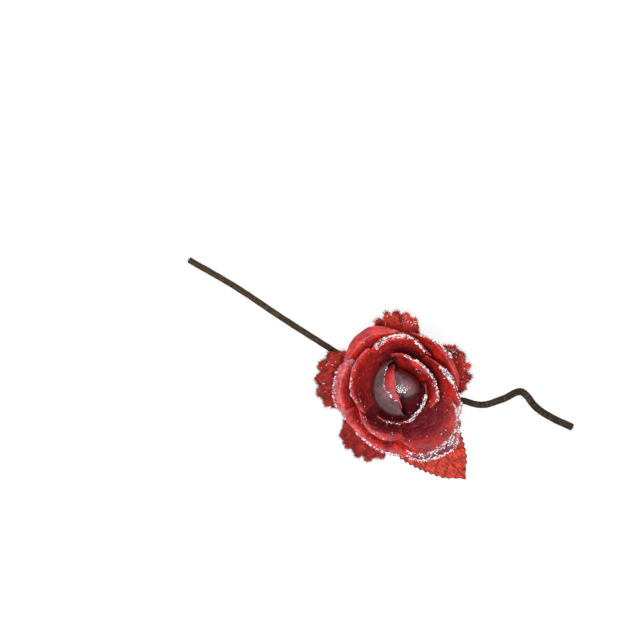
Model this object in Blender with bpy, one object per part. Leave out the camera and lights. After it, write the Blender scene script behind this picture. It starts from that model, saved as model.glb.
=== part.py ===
"""A waxed crepe paper rose on a paper-covered wire, lying face up on a table.

Lengths are in millimetres in the named values and become metres where a mesh is made. +Z is up. The origin
is the middle of the flat underside of the tape that binds the rose, its leaf and the long wire together.
The rose's own pieces are drawn upright about its axis and hang on an empty that leans them over, as it lies.
"""

import math
from dataclasses import dataclass

import bmesh
import bpy
from mathutils import Matrix, Vector

MM = 0.001

# Paper, cloth and wire
PETAL_THICKNESS = 0.45
RUFFLE_THICKNESS = 0.6
LEAF_THICKNESS = 0.3
TAPE_THICKNESS = 0.5
STEM_WIRE_RADIUS = 0.45
STEM_WRAP_RADIUS = 1.4
STEM_TAIL_RADIUS = 1.65
THIN_WIRE_RADIUS = 0.5
CLEARANCE = 0.3
BORE_CLEARANCE = 0.3
WIRE_HOLE = THIN_WIRE_RADIUS + BORE_CLEARANCE
PETAL_GAP = 0.38
SHARP_ANGLE = 60.0

# The long wire, seen from above: straight behind the rose, then out to its waved tail
STEM_ANGLE = -29.5
STEM_ROUTE_BACK = [(-77.2, 47.9), (-57.6, 36.6), (-37.0, 22.9), (-17.2, 10.3)]
STEM_ROUTE_FRONT = [(15.1, -7.3), (32.3, -11.2), (40.0, -12.4), (48.6, -14.3), (57.6, -11.7), (64.3, -8.6),
                    (67.7, -10.4), (71.8, -15.4), (78.3, -19.7), (87.3, -23.9)]
STEM_BARE_END = 0.6
STEM_DROP_START = 2.0
STEM_THICKENS_FROM = 0.45
STEM_THICK_BY = 0.82
STEM_SIDES = 8
ROUTE_STEPS = 3

# The tape that binds rose, leaf and long wire
BINDING_HALF_LENGTH = 6.0
BINDING_FACES = 16

# The rose's head: where its axis meets the ruffle, and how it leans
HEAD_ALONG = 12.7
HEAD_ASIDE = 1.7
HEAD_LEAN = 5.0
HEAD_LEAN_TOWARDS = -60.0
HEAD_WIRE_BEND = 2.5
HEAD_WIRE_BEND_STEPS = 6
HEAD_WIRE_DEPTH = 6.0

# Petals
PETAL_PITCH = 72.0
PETAL_COLUMNS = 10
PETAL_ROWS = 10
ROWS_TOWARDS_RIM = 1.6
CORNER_POWER = 3.0
BASE_WIDTH = 0.45
WIDEST_AT = 0.6
PROFILE_STEP = 0.02

# Ruffle under the petals
RUFFLE_LOBES = [14.0, 91.0, 176.0, 240.0, 306.0]
RUFFLE_REACHES = [30.0, 29.2, 33.5, 34.0, 33.0]
RUFFLE_VALLEY = 16.0
RUFFLE_RISE = 3.4
RUFFLE_WAVE = 0.7
RUFFLE_WAVES = 15
LOBE_HALVES = [0.39, 0.35, 0.41, 0.38, 0.42]
LOBE_SQUARENESS = 2.6
SCALLOPS = 3
SCALLOP_DEPTH = 0.9
RUFFLE_COLUMNS = 90
RUFFLE_ROWS = 5

# Leaf and its stalk
LEAF_ANGLE = -48.0
LEAF_START = 9.0
LEAF_LENGTH = 47.0
LEAF_HALF_WIDTH = 15.0
LEAF_LEAN_TO_FOOT = 0.62
LEAF_FULLNESS = 0.72
LEAF_POINT = 0.14
LEAF_POINT_SHARPNESS = 0.45
LEAF_TEETH = 21
TOOTH_DEPTH = 0.9
TEETH_FADE_AT_FOOT = 0.25
TEETH_FADE_AT_TIP = 0.12
LEAF_FOOT_SHARE = 0.01
LEAF_TIP_SHARE = 0.995
LEAF_ARCH = [1.02, 1.06, 1.0, 0.66, 0.0]
LEAF_FOLD = 0.4
LEAF_COLUMNS = 8
STALK_UNDER_LEAF = 14.0

# The bud's core: (radius, height) up its side, and the (angle, half width, depth) of its dents
CORE_SIDE = [(4.4, 0.8), (7.5, 3.4), (8.9, 7.2), (8.3, 11.2), (5.2, 14.6), (2.0, 16.4)]
CORE_HEIGHT = 17.4
CORE_DENTS = [(278.0, 52.0, 0.25), (62.0, 45.0, 0.2)]
CORE_DENT_FULL = 0.5
CORE_SEGMENTS = 24
CORE_ROWS = 12


@dataclass
class Ring:
    """Petals that stand round the axis in one cup.

    A profile is (radius, height) from a petal's foot to its rim. Rolls, reaches and rims are (angle, value)
    stops round the cup: how far the rim is rolled back, how much of the profile the paper fills, and the
    rim's radius.
    """

    name: str
    upright: list
    rolled: list
    centres: list
    half_widths: list
    rolls: list
    reaches: list
    rims: list
    corner_drop: float
    twist: float
    single: bool = False

    def spread(self):
        """How far the twist moves a petal's edges off the ring's middle surface."""
        return abs(self.twist) * max(self.half_widths) / PETAL_PITCH


OUTER = Ring(
    name="outer_petal",
    upright=[(WIRE_HOLE, 0), (9, 1.0), (17, 4.4), (23, 9.4), (26.3, 14.0), (28.0, 17.5)],
    rolled=[(WIRE_HOLE, 0), (9, 1.2), (16.5, 5.6), (21.5, 11.4), (25.4, 14.4), (29.6, 11.8)],
    centres=[30, 122, 189, 245, 306],
    half_widths=[48, 44, 40, 42, 42],
    rolls=[(30, 0.8), (75, 0.8), (122, 1.0), (189, 0.8), (245, 0.4), (306, 0.5), (345, 0.5)],
    reaches=[(30, 0.95), (85, 0.9), (122, 1.0), (189, 1.0), (245, 0.97), (306, 1.02), (350, 0.86)],
    rims=[(30, 24.8), (67, 25.3), (97, 25.0), (122, 28.8), (160, 26.8), (189, 28.2), (225, 26.5), (262, 28.9),
          (290, 33.2), (314, 34.4), (336, 29.6), (355, 26.6)],
    corner_drop=0.22,
    twist=1.5,
)
MIDDLE = Ring(
    name="middle_petal",
    upright=[(WIRE_HOLE, 0), (8, 1.0), (14.5, 4.9), (18.6, 9.9), (21.2, 14.4), (23.0, 17.9)],
    rolled=[(WIRE_HOLE, 0), (8, 1.0), (14.5, 4.9), (18.6, 10.2), (21.4, 13.4), (24.4, 13.0)],
    centres=[2, 88, 172, 237, 308],
    half_widths=[50, 42, 44, 36, 42],
    rolls=[(2, 0.3), (60, 0.6), (88, 0.8), (122, 0.8), (172, 0.6), (240, 0.8), (308, 0.4)],
    reaches=[(2, 0.98), (88, 1.0), (172, 0.97), (240, 0.97), (308, 1.02)],
    rims=[(2, 23.6), (20, 21.0), (46, 17.6), (88, 22.8), (122, 22.4), (172, 21.6), (205, 20.2), (240, 23.0),
          (266, 23.8), (290, 28.8), (316, 30.2), (338, 27.2)],
    corner_drop=0.22,
    twist=-1.4,
)
INNER = Ring(
    name="inner_petal",
    upright=[(WIRE_HOLE, 0), (5.6, 0.9), (8.7, 4.4), (9.7, 9.4), (10.0, 12.8), (11.2, 15.4), (13.6, 17.1)],
    rolled=[(WIRE_HOLE, 0), (6.4, 0.8), (10.8, 4.2), (12.7, 8.4), (13.6, 12.0), (15.0, 15.0), (16.6, 16.8)],
    centres=[36],
    half_widths=[70],
    rolls=[(106, 1.0), (85, 0.9), (62, 0.05), (38, 0.05), (15, 0.95), (340, 1.1)],
    reaches=[(0, 1.0)],
    rims=[(104, 16.2), (63, 13.3), (33, 13.5), (8, 14.8), (340, 16.8)],
    corner_drop=0.22,
    twist=0.0,
    single=True,
)
BUD_OUTER = Ring(
    name="bud_petal_outer",
    upright=[(WIRE_HOLE, 0), (5.4, 0.9), (8.9, 4.1), (10.5, 8.3), (10.6, 12.3), (10.2, 15.3)],
    rolled=[(WIRE_HOLE, 0), (6.4, 0.8), (11.2, 4.0), (13.6, 8.3), (14.4, 12.0), (14.6, 14.8)],
    centres=[300.5],
    half_widths=[70.5],
    rolls=[(245, 1.0), (290, 0.2), (330, 0.0), (25, 0.0)],
    reaches=[(0, 1.0)],
    rims=[(240, 15.6), (259, 15.0), (284, 14.2), (306, 12.3), (331, 11.0), (10, 10.2)],
    corner_drop=0.16,
    twist=0.0,
    single=True,
)
BUD_SIDE = Ring(
    name="bud_petal_side",
    upright=[(WIRE_HOLE, 0), (5.2, 0.7), (9.0, 3.6), (11.9, 8.3), (12.0, 12.6), (9.6, 15.9), (5.6, 17.8)],
    rolled=[(WIRE_HOLE, 0), (5.2, 0.7), (9.0, 3.6), (11.9, 8.3), (12.0, 12.6), (9.6, 15.9), (5.6, 17.8)],
    centres=[190],
    half_widths=[93],
    rolls=[(0, 0.0)],
    reaches=[(100, 0.9), (122, 0.88), (150, 0.9), (177, 0.93), (197, 0.99), (235, 1.06), (256, 1.15),
             (272, 1.13), (285, 1.0)],
    rims=[(0, 5.6)],
    corner_drop=0.38,
    twist=0.0,
    single=True,
)
BUD_STRIP = Ring(
    name="bud_petal_strip",
    upright=[(WIRE_HOLE, 0), (5.0, 0.7), (8.2, 3.4), (10.0, 7.6), (8.9, 12.6), (5.4, 16.2), (2.2, 17.6)],
    rolled=[(WIRE_HOLE, 0), (5.0, 0.7), (8.2, 3.4), (10.0, 7.6), (8.9, 12.6), (5.4, 16.2), (2.2, 17.6)],
    centres=[188],
    half_widths=[84],
    rolls=[(0, 0.0)],
    reaches=[(104, 1.03), (127, 1.07), (150, 0.98), (188, 0.95), (220, 0.99), (240, 1.06), (257, 1.15),
             (270, 1.25)],
    rims=[(0, 2.2)],
    corner_drop=0.4,
    twist=0.0,
    single=True,
)
RINGS = [OUTER, MIDDLE, INNER, BUD_OUTER, BUD_SIDE, BUD_STRIP]


def clear_scene():
    for obj in list(bpy.data.objects):
        bpy.data.objects.remove(obj)


def make_material(name, colour, roughness, metallic=0.0):
    material = bpy.data.materials.new(name)
    material.use_nodes = True
    shader = material.node_tree.nodes["Principled BSDF"]
    shader.inputs["Base Color"].default_value = (*colour, 1.0)
    shader.inputs["Roughness"].default_value = roughness
    shader.inputs["Metallic"].default_value = metallic
    return material


def add_object(name, mesh, material, parent=None):
    mesh.materials.append(material)
    mesh.shade_smooth()
    obj = bpy.data.objects.new(name, mesh)
    bpy.context.scene.collection.objects.link(obj)
    obj.parent = parent
    return obj


def mesh_of(name, points, faces):
    """A mesh from points in millimetres, with its faces turned outwards."""
    mesh = bpy.data.meshes.new(name)
    mesh.from_pydata([Vector(p) * MM for p in points], [], faces)
    made = bmesh.new()
    made.from_mesh(mesh)
    bmesh.ops.recalc_face_normals(made, faces=made.faces)
    made.to_mesh(mesh)
    made.free()
    return mesh


def along(points, share):
    """The point at that share of the way along the smooth curve through the points."""
    last = len(points) - 1
    place = share * last
    i = min(max(int(place), 0), last - 1)
    t = place - i
    four = [points[max(i - 1, 0)], points[i], points[i + 1], points[min(i + 2, last)]]
    return [
        0.5 * (2 * b + (c - a) * t + (2 * a - 5 * b + 4 * c - d) * t * t + (3 * b - a - 3 * c + d) * t**3)
        for a, b, c, d in zip(*four)
    ]


def ease(t):
    t = min(max(t, 0.0), 1.0)
    return t * t * (3 - 2 * t)


def turn_from(start, angle):
    """The shorter turn from one angle to the other, in degrees."""
    return (angle - start + 180) % 360 - 180


def round_ring(stops, angle):
    """A value that goes smoothly from one stop to the next, all the way round. Angles are in degrees."""
    stops = sorted((a % 360, value) for a, value in stops)
    stops = [(stops[-1][0] - 360, stops[-1][1]), *stops, (stops[0][0] + 360, stops[0][1])]
    angle %= 360
    for (low, a), (high, b) in zip(stops, stops[1:]):
        if low <= angle <= high:
            return a + (b - a) * ease((angle - low) / (high - low))
    return stops[0][1]


def sheet_object(name, grid, thickness, material, parent=None, closed=False):
    """One sheet of even thickness through a grid of points: rows of columns, round a ring if closed."""
    rows, columns = len(grid), len(grid[0])
    across = columns if closed else columns - 1
    faces = []
    for r in range(rows - 1):
        for c in range(across):
            nxt = (c + 1) % columns
            faces.append((r * columns + c, r * columns + nxt, (r + 1) * columns + nxt, (r + 1) * columns + c))
    mesh = mesh_of(name, [p for row in grid for p in row], faces)
    obj = add_object(name, mesh, material, parent)
    thick = obj.modifiers.new("thickness", "SOLIDIFY")
    thick.thickness = thickness * MM
    thick.offset = 0.0
    thick.use_even_offset = True
    return obj


def profile_point(ring, angle, share):
    """Radius and height on the ring's middle surface."""
    roll = round_ring(ring.rolls, angle)
    plain_rim = ring.upright[-1][0] + (ring.rolled[-1][0] - ring.upright[-1][0]) * roll
    wider = 1 + (round_ring(ring.rims, angle) / plain_rim - 1) * share**2
    up = along(ring.upright, share)
    back = along(ring.rolled, share)
    return Vector(((up[0] + (back[0] - up[0]) * roll) * wider, up[1] + (back[1] - up[1]) * roll))


def petal_grid(ring, centre, half_width, foot_height):
    """A petal's points. Its twist puts one edge outside its neighbour and the other inside the next one."""
    grid = []
    for r in range(PETAL_ROWS + 1):
        v = 1 - (1 - r / PETAL_ROWS) ** ROWS_TOWARDS_RIM
        width = BASE_WIDTH + (1 - BASE_WIDTH) * math.sin(math.pi / 2 * min(1.0, v / WIDEST_AT))
        row = []
        for c in range(PETAL_COLUMNS + 1):
            u = 2 * c / PETAL_COLUMNS - 1
            turn = half_width * u * width
            angle = centre + turn
            drop = 1 - ring.corner_drop * abs(u) ** CORNER_POWER
            share = v * drop * round_ring(ring.reaches, angle)
            here = profile_point(ring, angle, share)
            ahead = profile_point(ring, angle, share + PROFILE_STEP)
            run = (ahead - profile_point(ring, angle, share - PROFILE_STEP)).normalized()
            here += Vector((run.y, -run.x)) * ring.twist * turn / PETAL_PITCH
            a = math.radians(angle)
            row.append((here.x * math.cos(a), here.x * math.sin(a), foot_height + here.y))
        grid.append(row)
    return grid


def ruffle_grid():
    """The five-lobed ruffle's points, from its hole to its scalloped edge, in the head's own frame."""
    count = len(RUFFLE_LOBES)
    widest = max(RUFFLE_REACHES)
    grid = []
    for r in range(RUFFLE_ROWS + 1):
        v = r / RUFFLE_ROWS
        row = []
        for c in range(RUFFLE_COLUMNS):
            angle = 360 * c / RUFFLE_COLUMNS
            aways = [abs(turn_from(centre, angle)) for centre in RUFFLE_LOBES]
            nearest = aways.index(min(aways))
            half = LOBE_HALVES[nearest]
            off = min(half, aways[nearest] * count / 360)
            lobe = (1 - (off / half) ** LOBE_SQUARENESS) ** (1 / LOBE_SQUARENESS)
            edge = RUFFLE_VALLEY + (RUFFLE_REACHES[nearest] - RUFFLE_VALLEY) * lobe
            edge += SCALLOP_DEPTH * lobe * math.cos(2 * math.pi * SCALLOPS * off / half)
            radius = WIRE_HOLE + (edge - WIRE_HOLE) * v
            out = radius / widest
            height = RUFFLE_THICKNESS / 2 + RUFFLE_RISE * out**2
            height += RUFFLE_WAVE * out**3 * math.sin(math.radians(RUFFLE_WAVES * angle))
            a = math.radians(angle)
            row.append((radius * math.cos(a), radius * math.sin(a), height))
        grid.append(row)
    return grid


def circle(centre, side, up, radius, sides):
    turns = [2 * math.pi * (i + 0.5) / sides for i in range(sides)]
    return [centre + side * radius * math.cos(t) + up * radius * math.sin(t) for t in turns]


def frames(path):
    """(point, side, up) at each point of a path, with no twist from one to the next."""
    made = []
    side = None
    for i, point in enumerate(path):
        heading = (path[min(i + 1, len(path) - 1)] - path[max(i - 1, 0)]).normalized()
        if side is None:
            side = Vector((0, 0, 1)).cross(heading)
        side = (side - heading * side.dot(heading)).normalized()
        made.append((point, side, heading.cross(side)))
    return made


def rod_object(name, path, radius, sides, material):
    """A solid round wire along a path."""
    points = [p for place in frames(path) for p in circle(*place, radius, sides)]
    last = (len(path) - 1) * sides
    faces = [tuple(range(sides)), tuple(range(last, last + sides))]
    for i in range(len(path) - 1):
        for k in range(sides):
            a, b = i * sides + k, i * sides + (k + 1) % sides
            faces.append((a, b, b + sides, a + sides))
    obj = add_object(name, mesh_of(name, points, faces), material)
    obj.data.set_sharp_from_angle(angle=math.radians(SHARP_ANGLE))
    return obj


def sleeve_object(name, outer_rings, inner_rings, material):
    """A sleeve that is open at both ends, from matching rings of points outside and inside."""
    sides = len(outer_rings[0])
    count = len(outer_rings)
    points = [p for ring in outer_rings + inner_rings for p in ring]
    inner = count * sides
    faces = []
    for k in range(sides):
        nxt = (k + 1) % sides
        for i in range(count - 1):
            a, b = i * sides + k, i * sides + nxt
            faces.append((a, b, b + sides, a + sides))
            faces.append((inner + b, inner + a, inner + a + sides, inner + b + sides))
        for start in (0, (count - 1) * sides):
            faces.append((start + k, start + nxt, inner + start + nxt, inner + start + k))
    obj = add_object(name, mesh_of(name, points, faces), material)
    obj.data.set_sharp_from_angle(angle=math.radians(SHARP_ANGLE))
    return obj


def smooth_route(points, steps):
    """Points read from the smooth curve through a route's own points."""
    spans = len(points) - 1
    return [Vector(along(points, i / (spans * steps))) for i in range(spans * steps + 1)]


def stem_direction():
    a = math.radians(STEM_ANGLE)
    return Vector((math.cos(a), math.sin(a), 0)), Vector((-math.sin(a), math.cos(a), 0))


def by_stem(distance, aside, height):
    """A place given along and beside the straight stretch of the long wire."""
    ahead, left = stem_direction()
    return ahead * distance + left * aside + Vector((0, 0, height))


def bundle():
    """(aside, height, radius) of the long wire, the rose's wire and the leaf's stalk inside the binding."""
    floor = TAPE_THICKNESS + CLEARANCE
    stem_height = floor + STEM_WRAP_RADIUS
    stalk_height = floor + THIN_WIRE_RADIUS
    apart = STEM_WRAP_RADIUS + CLEARANCE + THIN_WIRE_RADIUS
    stalk_aside = -math.sqrt(apart**2 - (stem_height - stalk_height) ** 2)
    return {
        "stem": (0.0, stem_height, STEM_WRAP_RADIUS),
        "head_wire": (0.0, stem_height + apart, THIN_WIRE_RADIUS),
        "stalk": (stalk_aside, stalk_height, THIN_WIRE_RADIUS),
    }


def wound_outline(circles, spare):
    """The outline of tape pulled round circles, that far from them: (aside, height) of each corner."""
    corners = []
    turns = [2 * math.pi * (k - 0.25 * BINDING_FACES) / BINDING_FACES for k in range(BINDING_FACES)]
    reach = [
        max(x * math.cos(t) + z * math.sin(t) + radius for x, z, radius in circles) + spare for t in turns
    ]
    for k in range(BINDING_FACES):
        a, b = turns[k], turns[(k + 1) % BINDING_FACES]
        ra, rb = reach[k], reach[(k + 1) % BINDING_FACES]
        det = math.sin(b - a)
        aside = (ra * math.sin(b) - rb * math.sin(a)) / det
        corners.append((aside, (rb * math.cos(a) - ra * math.cos(b)) / det))
    return corners


def wrap_radius(share):
    """The paper cover's radius: its tail, in front of the rose, is wound thicker."""
    thick = ease((share - STEM_THICKENS_FROM) / (STEM_THICK_BY - STEM_THICKENS_FROM))
    return STEM_WRAP_RADIUS + (STEM_TAIL_RADIUS - STEM_WRAP_RADIUS) * thick


def stem_path():
    """The long wire's centreline: low at both ends, and raised by the tape where it is bound."""
    held = bundle()["stem"][1]
    flat = math.cos(math.pi / STEM_SIDES)
    low = STEM_WRAP_RADIUS * flat
    ends = BINDING_HALF_LENGTH + STEM_DROP_START
    bound = [by_stem(distance, 0, held) for distance in (-ends, 0.0, ends)]
    back = [Vector((x, y, low)) for x, y in STEM_ROUTE_BACK]
    front = [Vector((x, y, low)) for x, y in STEM_ROUTE_FRONT]
    path = smooth_route(back + bound + front, ROUTE_STEPS)
    last = len(path) - 1
    return [Vector((p.x, p.y, max(p.z, wrap_radius(i / last) * flat))) for i, p in enumerate(path)]


def head_height():
    """Height of the ruffle's underside on the rose's axis: just over the binding."""
    _, height, radius = bundle()["head_wire"]
    return height + radius + CLEARANCE + TAPE_THICKNESS + CLEARANCE


def head_matrix():
    """Where the rose's own frame lies: over the wire's bend, and leaning."""
    lean = math.radians(HEAD_LEAN_TOWARDS)
    axis = Vector((-math.sin(lean), math.cos(lean), 0))
    place = by_stem(HEAD_ALONG, HEAD_ASIDE, head_height())
    return Matrix.Translation(place) @ Matrix.Rotation(math.radians(HEAD_LEAN), 4, axis)


def ring_foot_heights(rings):
    """The height of each ring's foot, stacked from the ruffle up with one gap between rings."""
    heights = {}
    top = RUFFLE_THICKNESS
    for ring in rings:
        foot = top + PETAL_GAP + ring.spread() + PETAL_THICKNESS / 2
        heights[ring.name] = foot
        top = foot + ring.spread() + PETAL_THICKNESS / 2
    return heights, top + PETAL_GAP


def add_petals(ring, foot_height, material, head):
    for i, centre in enumerate(ring.centres):
        grid = petal_grid(ring, centre, ring.half_widths[i], foot_height)
        name = ring.name if ring.single else f"{ring.name}_{i + 1}"
        sheet_object(name, grid, PETAL_THICKNESS, material, head)


def core_dent(angle, share):
    """How much of its round radius the core keeps at that angle: its top is pressed in on two sides."""
    kept = 1.0
    for middle, half, depth in CORE_DENTS:
        across = turn_from(middle, angle) / half
        kept *= 1 - depth * math.exp(-(across**2)) * ease(share / CORE_DENT_FULL)
    return kept


def add_core(foot, material, head):
    """The bud's egg-shaped core, turned about the rose's axis, with a blind hole for its wire."""
    side = [along(CORE_SIDE, i / CORE_ROWS) for i in range(CORE_ROWS + 1)]
    turned = [(WIRE_HOLE, HEAD_WIRE_DEPTH + BORE_CLEARANCE), (WIRE_HOLE, 0.0), *side]
    points = [(0, 0, foot + HEAD_WIRE_DEPTH + BORE_CLEARANCE)]
    for i, (radius, height) in enumerate(turned):
        share = max(0, i - 2) / CORE_ROWS
        for k in range(CORE_SEGMENTS):
            a = 2 * math.pi * k / CORE_SEGMENTS
            dented = radius * core_dent(math.degrees(a), share)
            points.append((dented * math.cos(a), dented * math.sin(a), foot + height))
    points.append((0, 0, foot + CORE_HEIGHT))
    faces = []
    last = len(points) - 1
    for k in range(CORE_SEGMENTS):
        nxt = (k + 1) % CORE_SEGMENTS
        faces.append((0, 1 + k, 1 + nxt))
        top = 1 + (len(turned) - 1) * CORE_SEGMENTS
        faces.append((last, top + nxt, top + k))
        for i in range(len(turned) - 1):
            row = 1 + i * CORE_SEGMENTS
            faces.append((row + k, row + nxt, row + CORE_SEGMENTS + nxt, row + CORE_SEGMENTS + k))
    return add_object("bud_core", mesh_of("bud_core", points, faces), material, head)


def add_stem(wire_material, paper_material):
    path = stem_path()
    places = frames(path)
    last = len(path) - 1
    bore = STEM_WIRE_RADIUS + BORE_CLEARANCE
    sleeve_object(
        "stem_wrap",
        [circle(*place, wrap_radius(i / last), STEM_SIDES) for i, place in enumerate(places)],
        [circle(*place, bore, STEM_SIDES) for place in places],
        paper_material,
    )
    first = path[0] + (path[0] - path[1]).normalized() * STEM_BARE_END
    last = path[-1] + (path[-1] - path[-2]).normalized() * STEM_BARE_END
    rod_object("stem_wire", [first, *path, last], STEM_WIRE_RADIUS, STEM_SIDES, wire_material)


def add_binding(material):
    circles = list(bundle().values())
    outlines = [wound_outline(circles, CLEARANCE + TAPE_THICKNESS), wound_outline(circles, CLEARANCE)]
    ends = (-BINDING_HALF_LENGTH, BINDING_HALF_LENGTH)
    outer, inner = [[[by_stem(d, x, z) for x, z in outline] for d in ends] for outline in outlines]
    sleeve_object("binding_tape", outer, inner, material)


def add_head_wire(core_foot, material):
    """The rose's own wire: along the top of the long wire in the tape, then up into the core."""
    _, height, _ = bundle()["head_wire"]
    matrix = head_matrix()
    up = matrix.to_3x3() @ Vector((0, 0, 1))
    foot = matrix @ Vector((0, 0, 0))
    start = by_stem(-BINDING_HALF_LENGTH + CLEARANCE, 0, height)
    leaves_tape = by_stem(BINDING_HALF_LENGTH + CLEARANCE, 0, height)
    corner = foot - up * (foot.z - height) / up.z
    before = corner + (leaves_tape - corner).normalized() * HEAD_WIRE_BEND
    bend = []
    after = corner + up * HEAD_WIRE_BEND
    for i in range(HEAD_WIRE_BEND_STEPS + 1):
        t = i / HEAD_WIRE_BEND_STEPS
        bend.append(before * (1 - t) ** 2 + corner * 2 * t * (1 - t) + after * t**2)
    path = [start, leaves_tape, *bend, foot + up * (core_foot + HEAD_WIRE_DEPTH)]
    rod_object("head_wire", path, THIN_WIRE_RADIUS, STEM_SIDES, material)


def leaf_frame():
    """The end of the binding where the stalk comes out, and the leaf's direction and its left."""
    aside, height, _ = bundle()["stalk"]
    a = math.radians(LEAF_ANGLE)
    ahead = Vector((math.cos(a), math.sin(a), 0))
    return by_stem(BINDING_HALF_LENGTH, aside, height), ahead, Vector((-ahead.y, ahead.x, 0))


def leaf_height(share):
    """The blade's middle surface: over the long wire at its foot, and down on the table at its tip."""
    over_stem = 2 * STEM_WRAP_RADIUS + CLEARANCE
    return LEAF_THICKNESS / 2 + over_stem * max(0.0, along([(a,) for a in LEAF_ARCH], share)[0])


def leaf_half_width(share):
    """Half the blade's width: round at its foot, widest before its middle, and pointed at its tip."""
    if not 0 < share < 1:
        return 0.0
    tip = min(1.0, (1 - share) / LEAF_POINT) ** LEAF_POINT_SHARPNESS
    return LEAF_HALF_WIDTH * tip * math.sin(math.pi * share**LEAF_LEAN_TO_FOOT) ** LEAF_FULLNESS


def add_leaf(material):
    exit_point, ahead, left = leaf_frame()
    stations = 2 * LEAF_TEETH
    grid = []
    for i in range(stations + 1):
        share = LEAF_FOOT_SHARE + (LEAF_TIP_SHARE - LEAF_FOOT_SHARE) * i / stations
        fade = min(1.0, share / TEETH_FADE_AT_FOOT, (1 - share) / TEETH_FADE_AT_TIP)
        half = leaf_half_width(share) + (TOOTH_DEPTH * fade if i % 2 == 0 else 0.0)
        middle = exit_point + ahead * (LEAF_START + LEAF_LENGTH * share)
        row = []
        for c in range(LEAF_COLUMNS + 1):
            u = 2 * c / LEAF_COLUMNS - 1
            height = leaf_height(share) + LEAF_FOLD * abs(u) * math.sin(math.pi * share)
            point = middle + left * half * u
            row.append((point.x, point.y, height))
        grid.append(row)
    sheet_object("leaf", grid, LEAF_THICKNESS, material)


def add_leaf_stalk(material):
    """The leaf's wire: beside the long wire in the tape, then under the blade's midrib."""
    exit_point, ahead, _ = leaf_frame()
    aside, height, _ = bundle()["stalk"]
    start = by_stem(-BINDING_HALF_LENGTH + CLEARANCE, aside, height)
    under = LEAF_THICKNESS / 2 + CLEARANCE + THIN_WIRE_RADIUS
    path = [start, start.lerp(exit_point, 0.5), exit_point]
    end = LEAF_START + STALK_UNDER_LEAF
    for distance in (LEAF_START / 2, LEAF_START, (LEAF_START + end) / 2, end):
        share = max(0.0, distance - LEAF_START) / LEAF_LENGTH
        place = exit_point + ahead * distance
        path.append(Vector((place.x, place.y, leaf_height(share) - under)))
    rod_object("leaf_stalk", smooth_route(path, ROUTE_STEPS), THIN_WIRE_RADIUS, STEM_SIDES, material)


def build():
    clear_scene()
    petal_paper = make_material("petal_paper", (0.55, 0.03, 0.03), 0.35)
    bud_paper = make_material("bud_paper", (0.35, 0.2, 0.24), 0.3)
    ruffle_crepe = make_material("ruffle_crepe", (0.6, 0.03, 0.03), 0.9)
    leaf_satin = make_material("leaf_satin", (0.75, 0.06, 0.03), 0.35)
    stem_paper = make_material("stem_paper", (0.09, 0.06, 0.04), 0.8)
    steel = make_material("steel", (0.2, 0.2, 0.2), 0.4, 1.0)

    head = bpy.data.objects.new("head", None)
    bpy.context.scene.collection.objects.link(head)
    matrix = head_matrix()
    head.matrix_world = Matrix.Translation(matrix.translation * MM) @ matrix.to_3x3().to_4x4()

    heights, core_foot = ring_foot_heights(RINGS)
    for ring in RINGS:
        add_petals(ring, heights[ring.name], bud_paper if ring is BUD_SIDE else petal_paper, head)
    add_core(core_foot, bud_paper, head)
    sheet_object("calyx_ruffle", ruffle_grid(), RUFFLE_THICKNESS, ruffle_crepe, head, closed=True)

    add_stem(steel, stem_paper)
    add_binding(stem_paper)
    add_head_wire(core_foot, steel)
    add_leaf(leaf_satin)
    add_leaf_stalk(steel)


build()
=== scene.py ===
"""The finish of a waxed crepe paper rose that lies face up on a table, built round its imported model.

Lengths are in millimetres until a mesh is made. The petals are drawn in the head's own upright frame, from
the same rings as the model's, and then lean as the head leans.
"""

import math
import random
from dataclasses import dataclass

import bpy
from mathutils import Matrix, Vector, noise


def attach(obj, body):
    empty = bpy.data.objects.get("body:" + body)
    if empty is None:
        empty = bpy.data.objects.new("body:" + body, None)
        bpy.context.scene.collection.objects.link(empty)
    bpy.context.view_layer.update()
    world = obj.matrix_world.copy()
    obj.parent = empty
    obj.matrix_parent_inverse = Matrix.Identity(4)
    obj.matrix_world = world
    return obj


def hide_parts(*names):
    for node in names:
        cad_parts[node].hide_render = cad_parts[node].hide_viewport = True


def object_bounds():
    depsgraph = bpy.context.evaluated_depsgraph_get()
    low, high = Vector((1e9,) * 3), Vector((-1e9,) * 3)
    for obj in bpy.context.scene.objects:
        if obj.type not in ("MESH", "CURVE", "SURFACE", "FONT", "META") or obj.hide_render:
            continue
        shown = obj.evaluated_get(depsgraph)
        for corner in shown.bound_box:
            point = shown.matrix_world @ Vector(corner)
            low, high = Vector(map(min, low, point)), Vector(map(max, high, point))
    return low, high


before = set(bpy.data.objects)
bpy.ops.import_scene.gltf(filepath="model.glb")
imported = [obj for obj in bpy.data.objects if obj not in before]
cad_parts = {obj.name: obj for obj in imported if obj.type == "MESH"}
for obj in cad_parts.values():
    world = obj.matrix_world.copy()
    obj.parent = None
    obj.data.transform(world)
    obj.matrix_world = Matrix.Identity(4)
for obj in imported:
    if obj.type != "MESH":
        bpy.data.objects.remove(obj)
cad_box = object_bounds()

MM = 0.001

# Sheets
PETAL_THICKNESS = 0.45
RUFFLE_THICKNESS = 0.6
LEAF_THICKNESS = 0.3
PETAL_GAP = 0.38
THIN_WIRE_RADIUS = 0.5
CLEARANCE = 0.3
PETAL_HOLE = THIN_WIRE_RADIUS + CLEARANCE

# Where the head's foot is on the table, and how it leans
HEAD_FOOT = (11.89, -4.77, 6.0)
HEAD_LEAN = 5.0
HEAD_LEAN_TOWARDS = -60.0

# Petals
PETAL_PITCH = 72.0
CORNER_POWER = 3.0
BASE_WIDTH = 0.45
WIDEST_AT = 0.6
FINE_COLUMNS = 44
FINE_ROWS = 40

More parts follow.
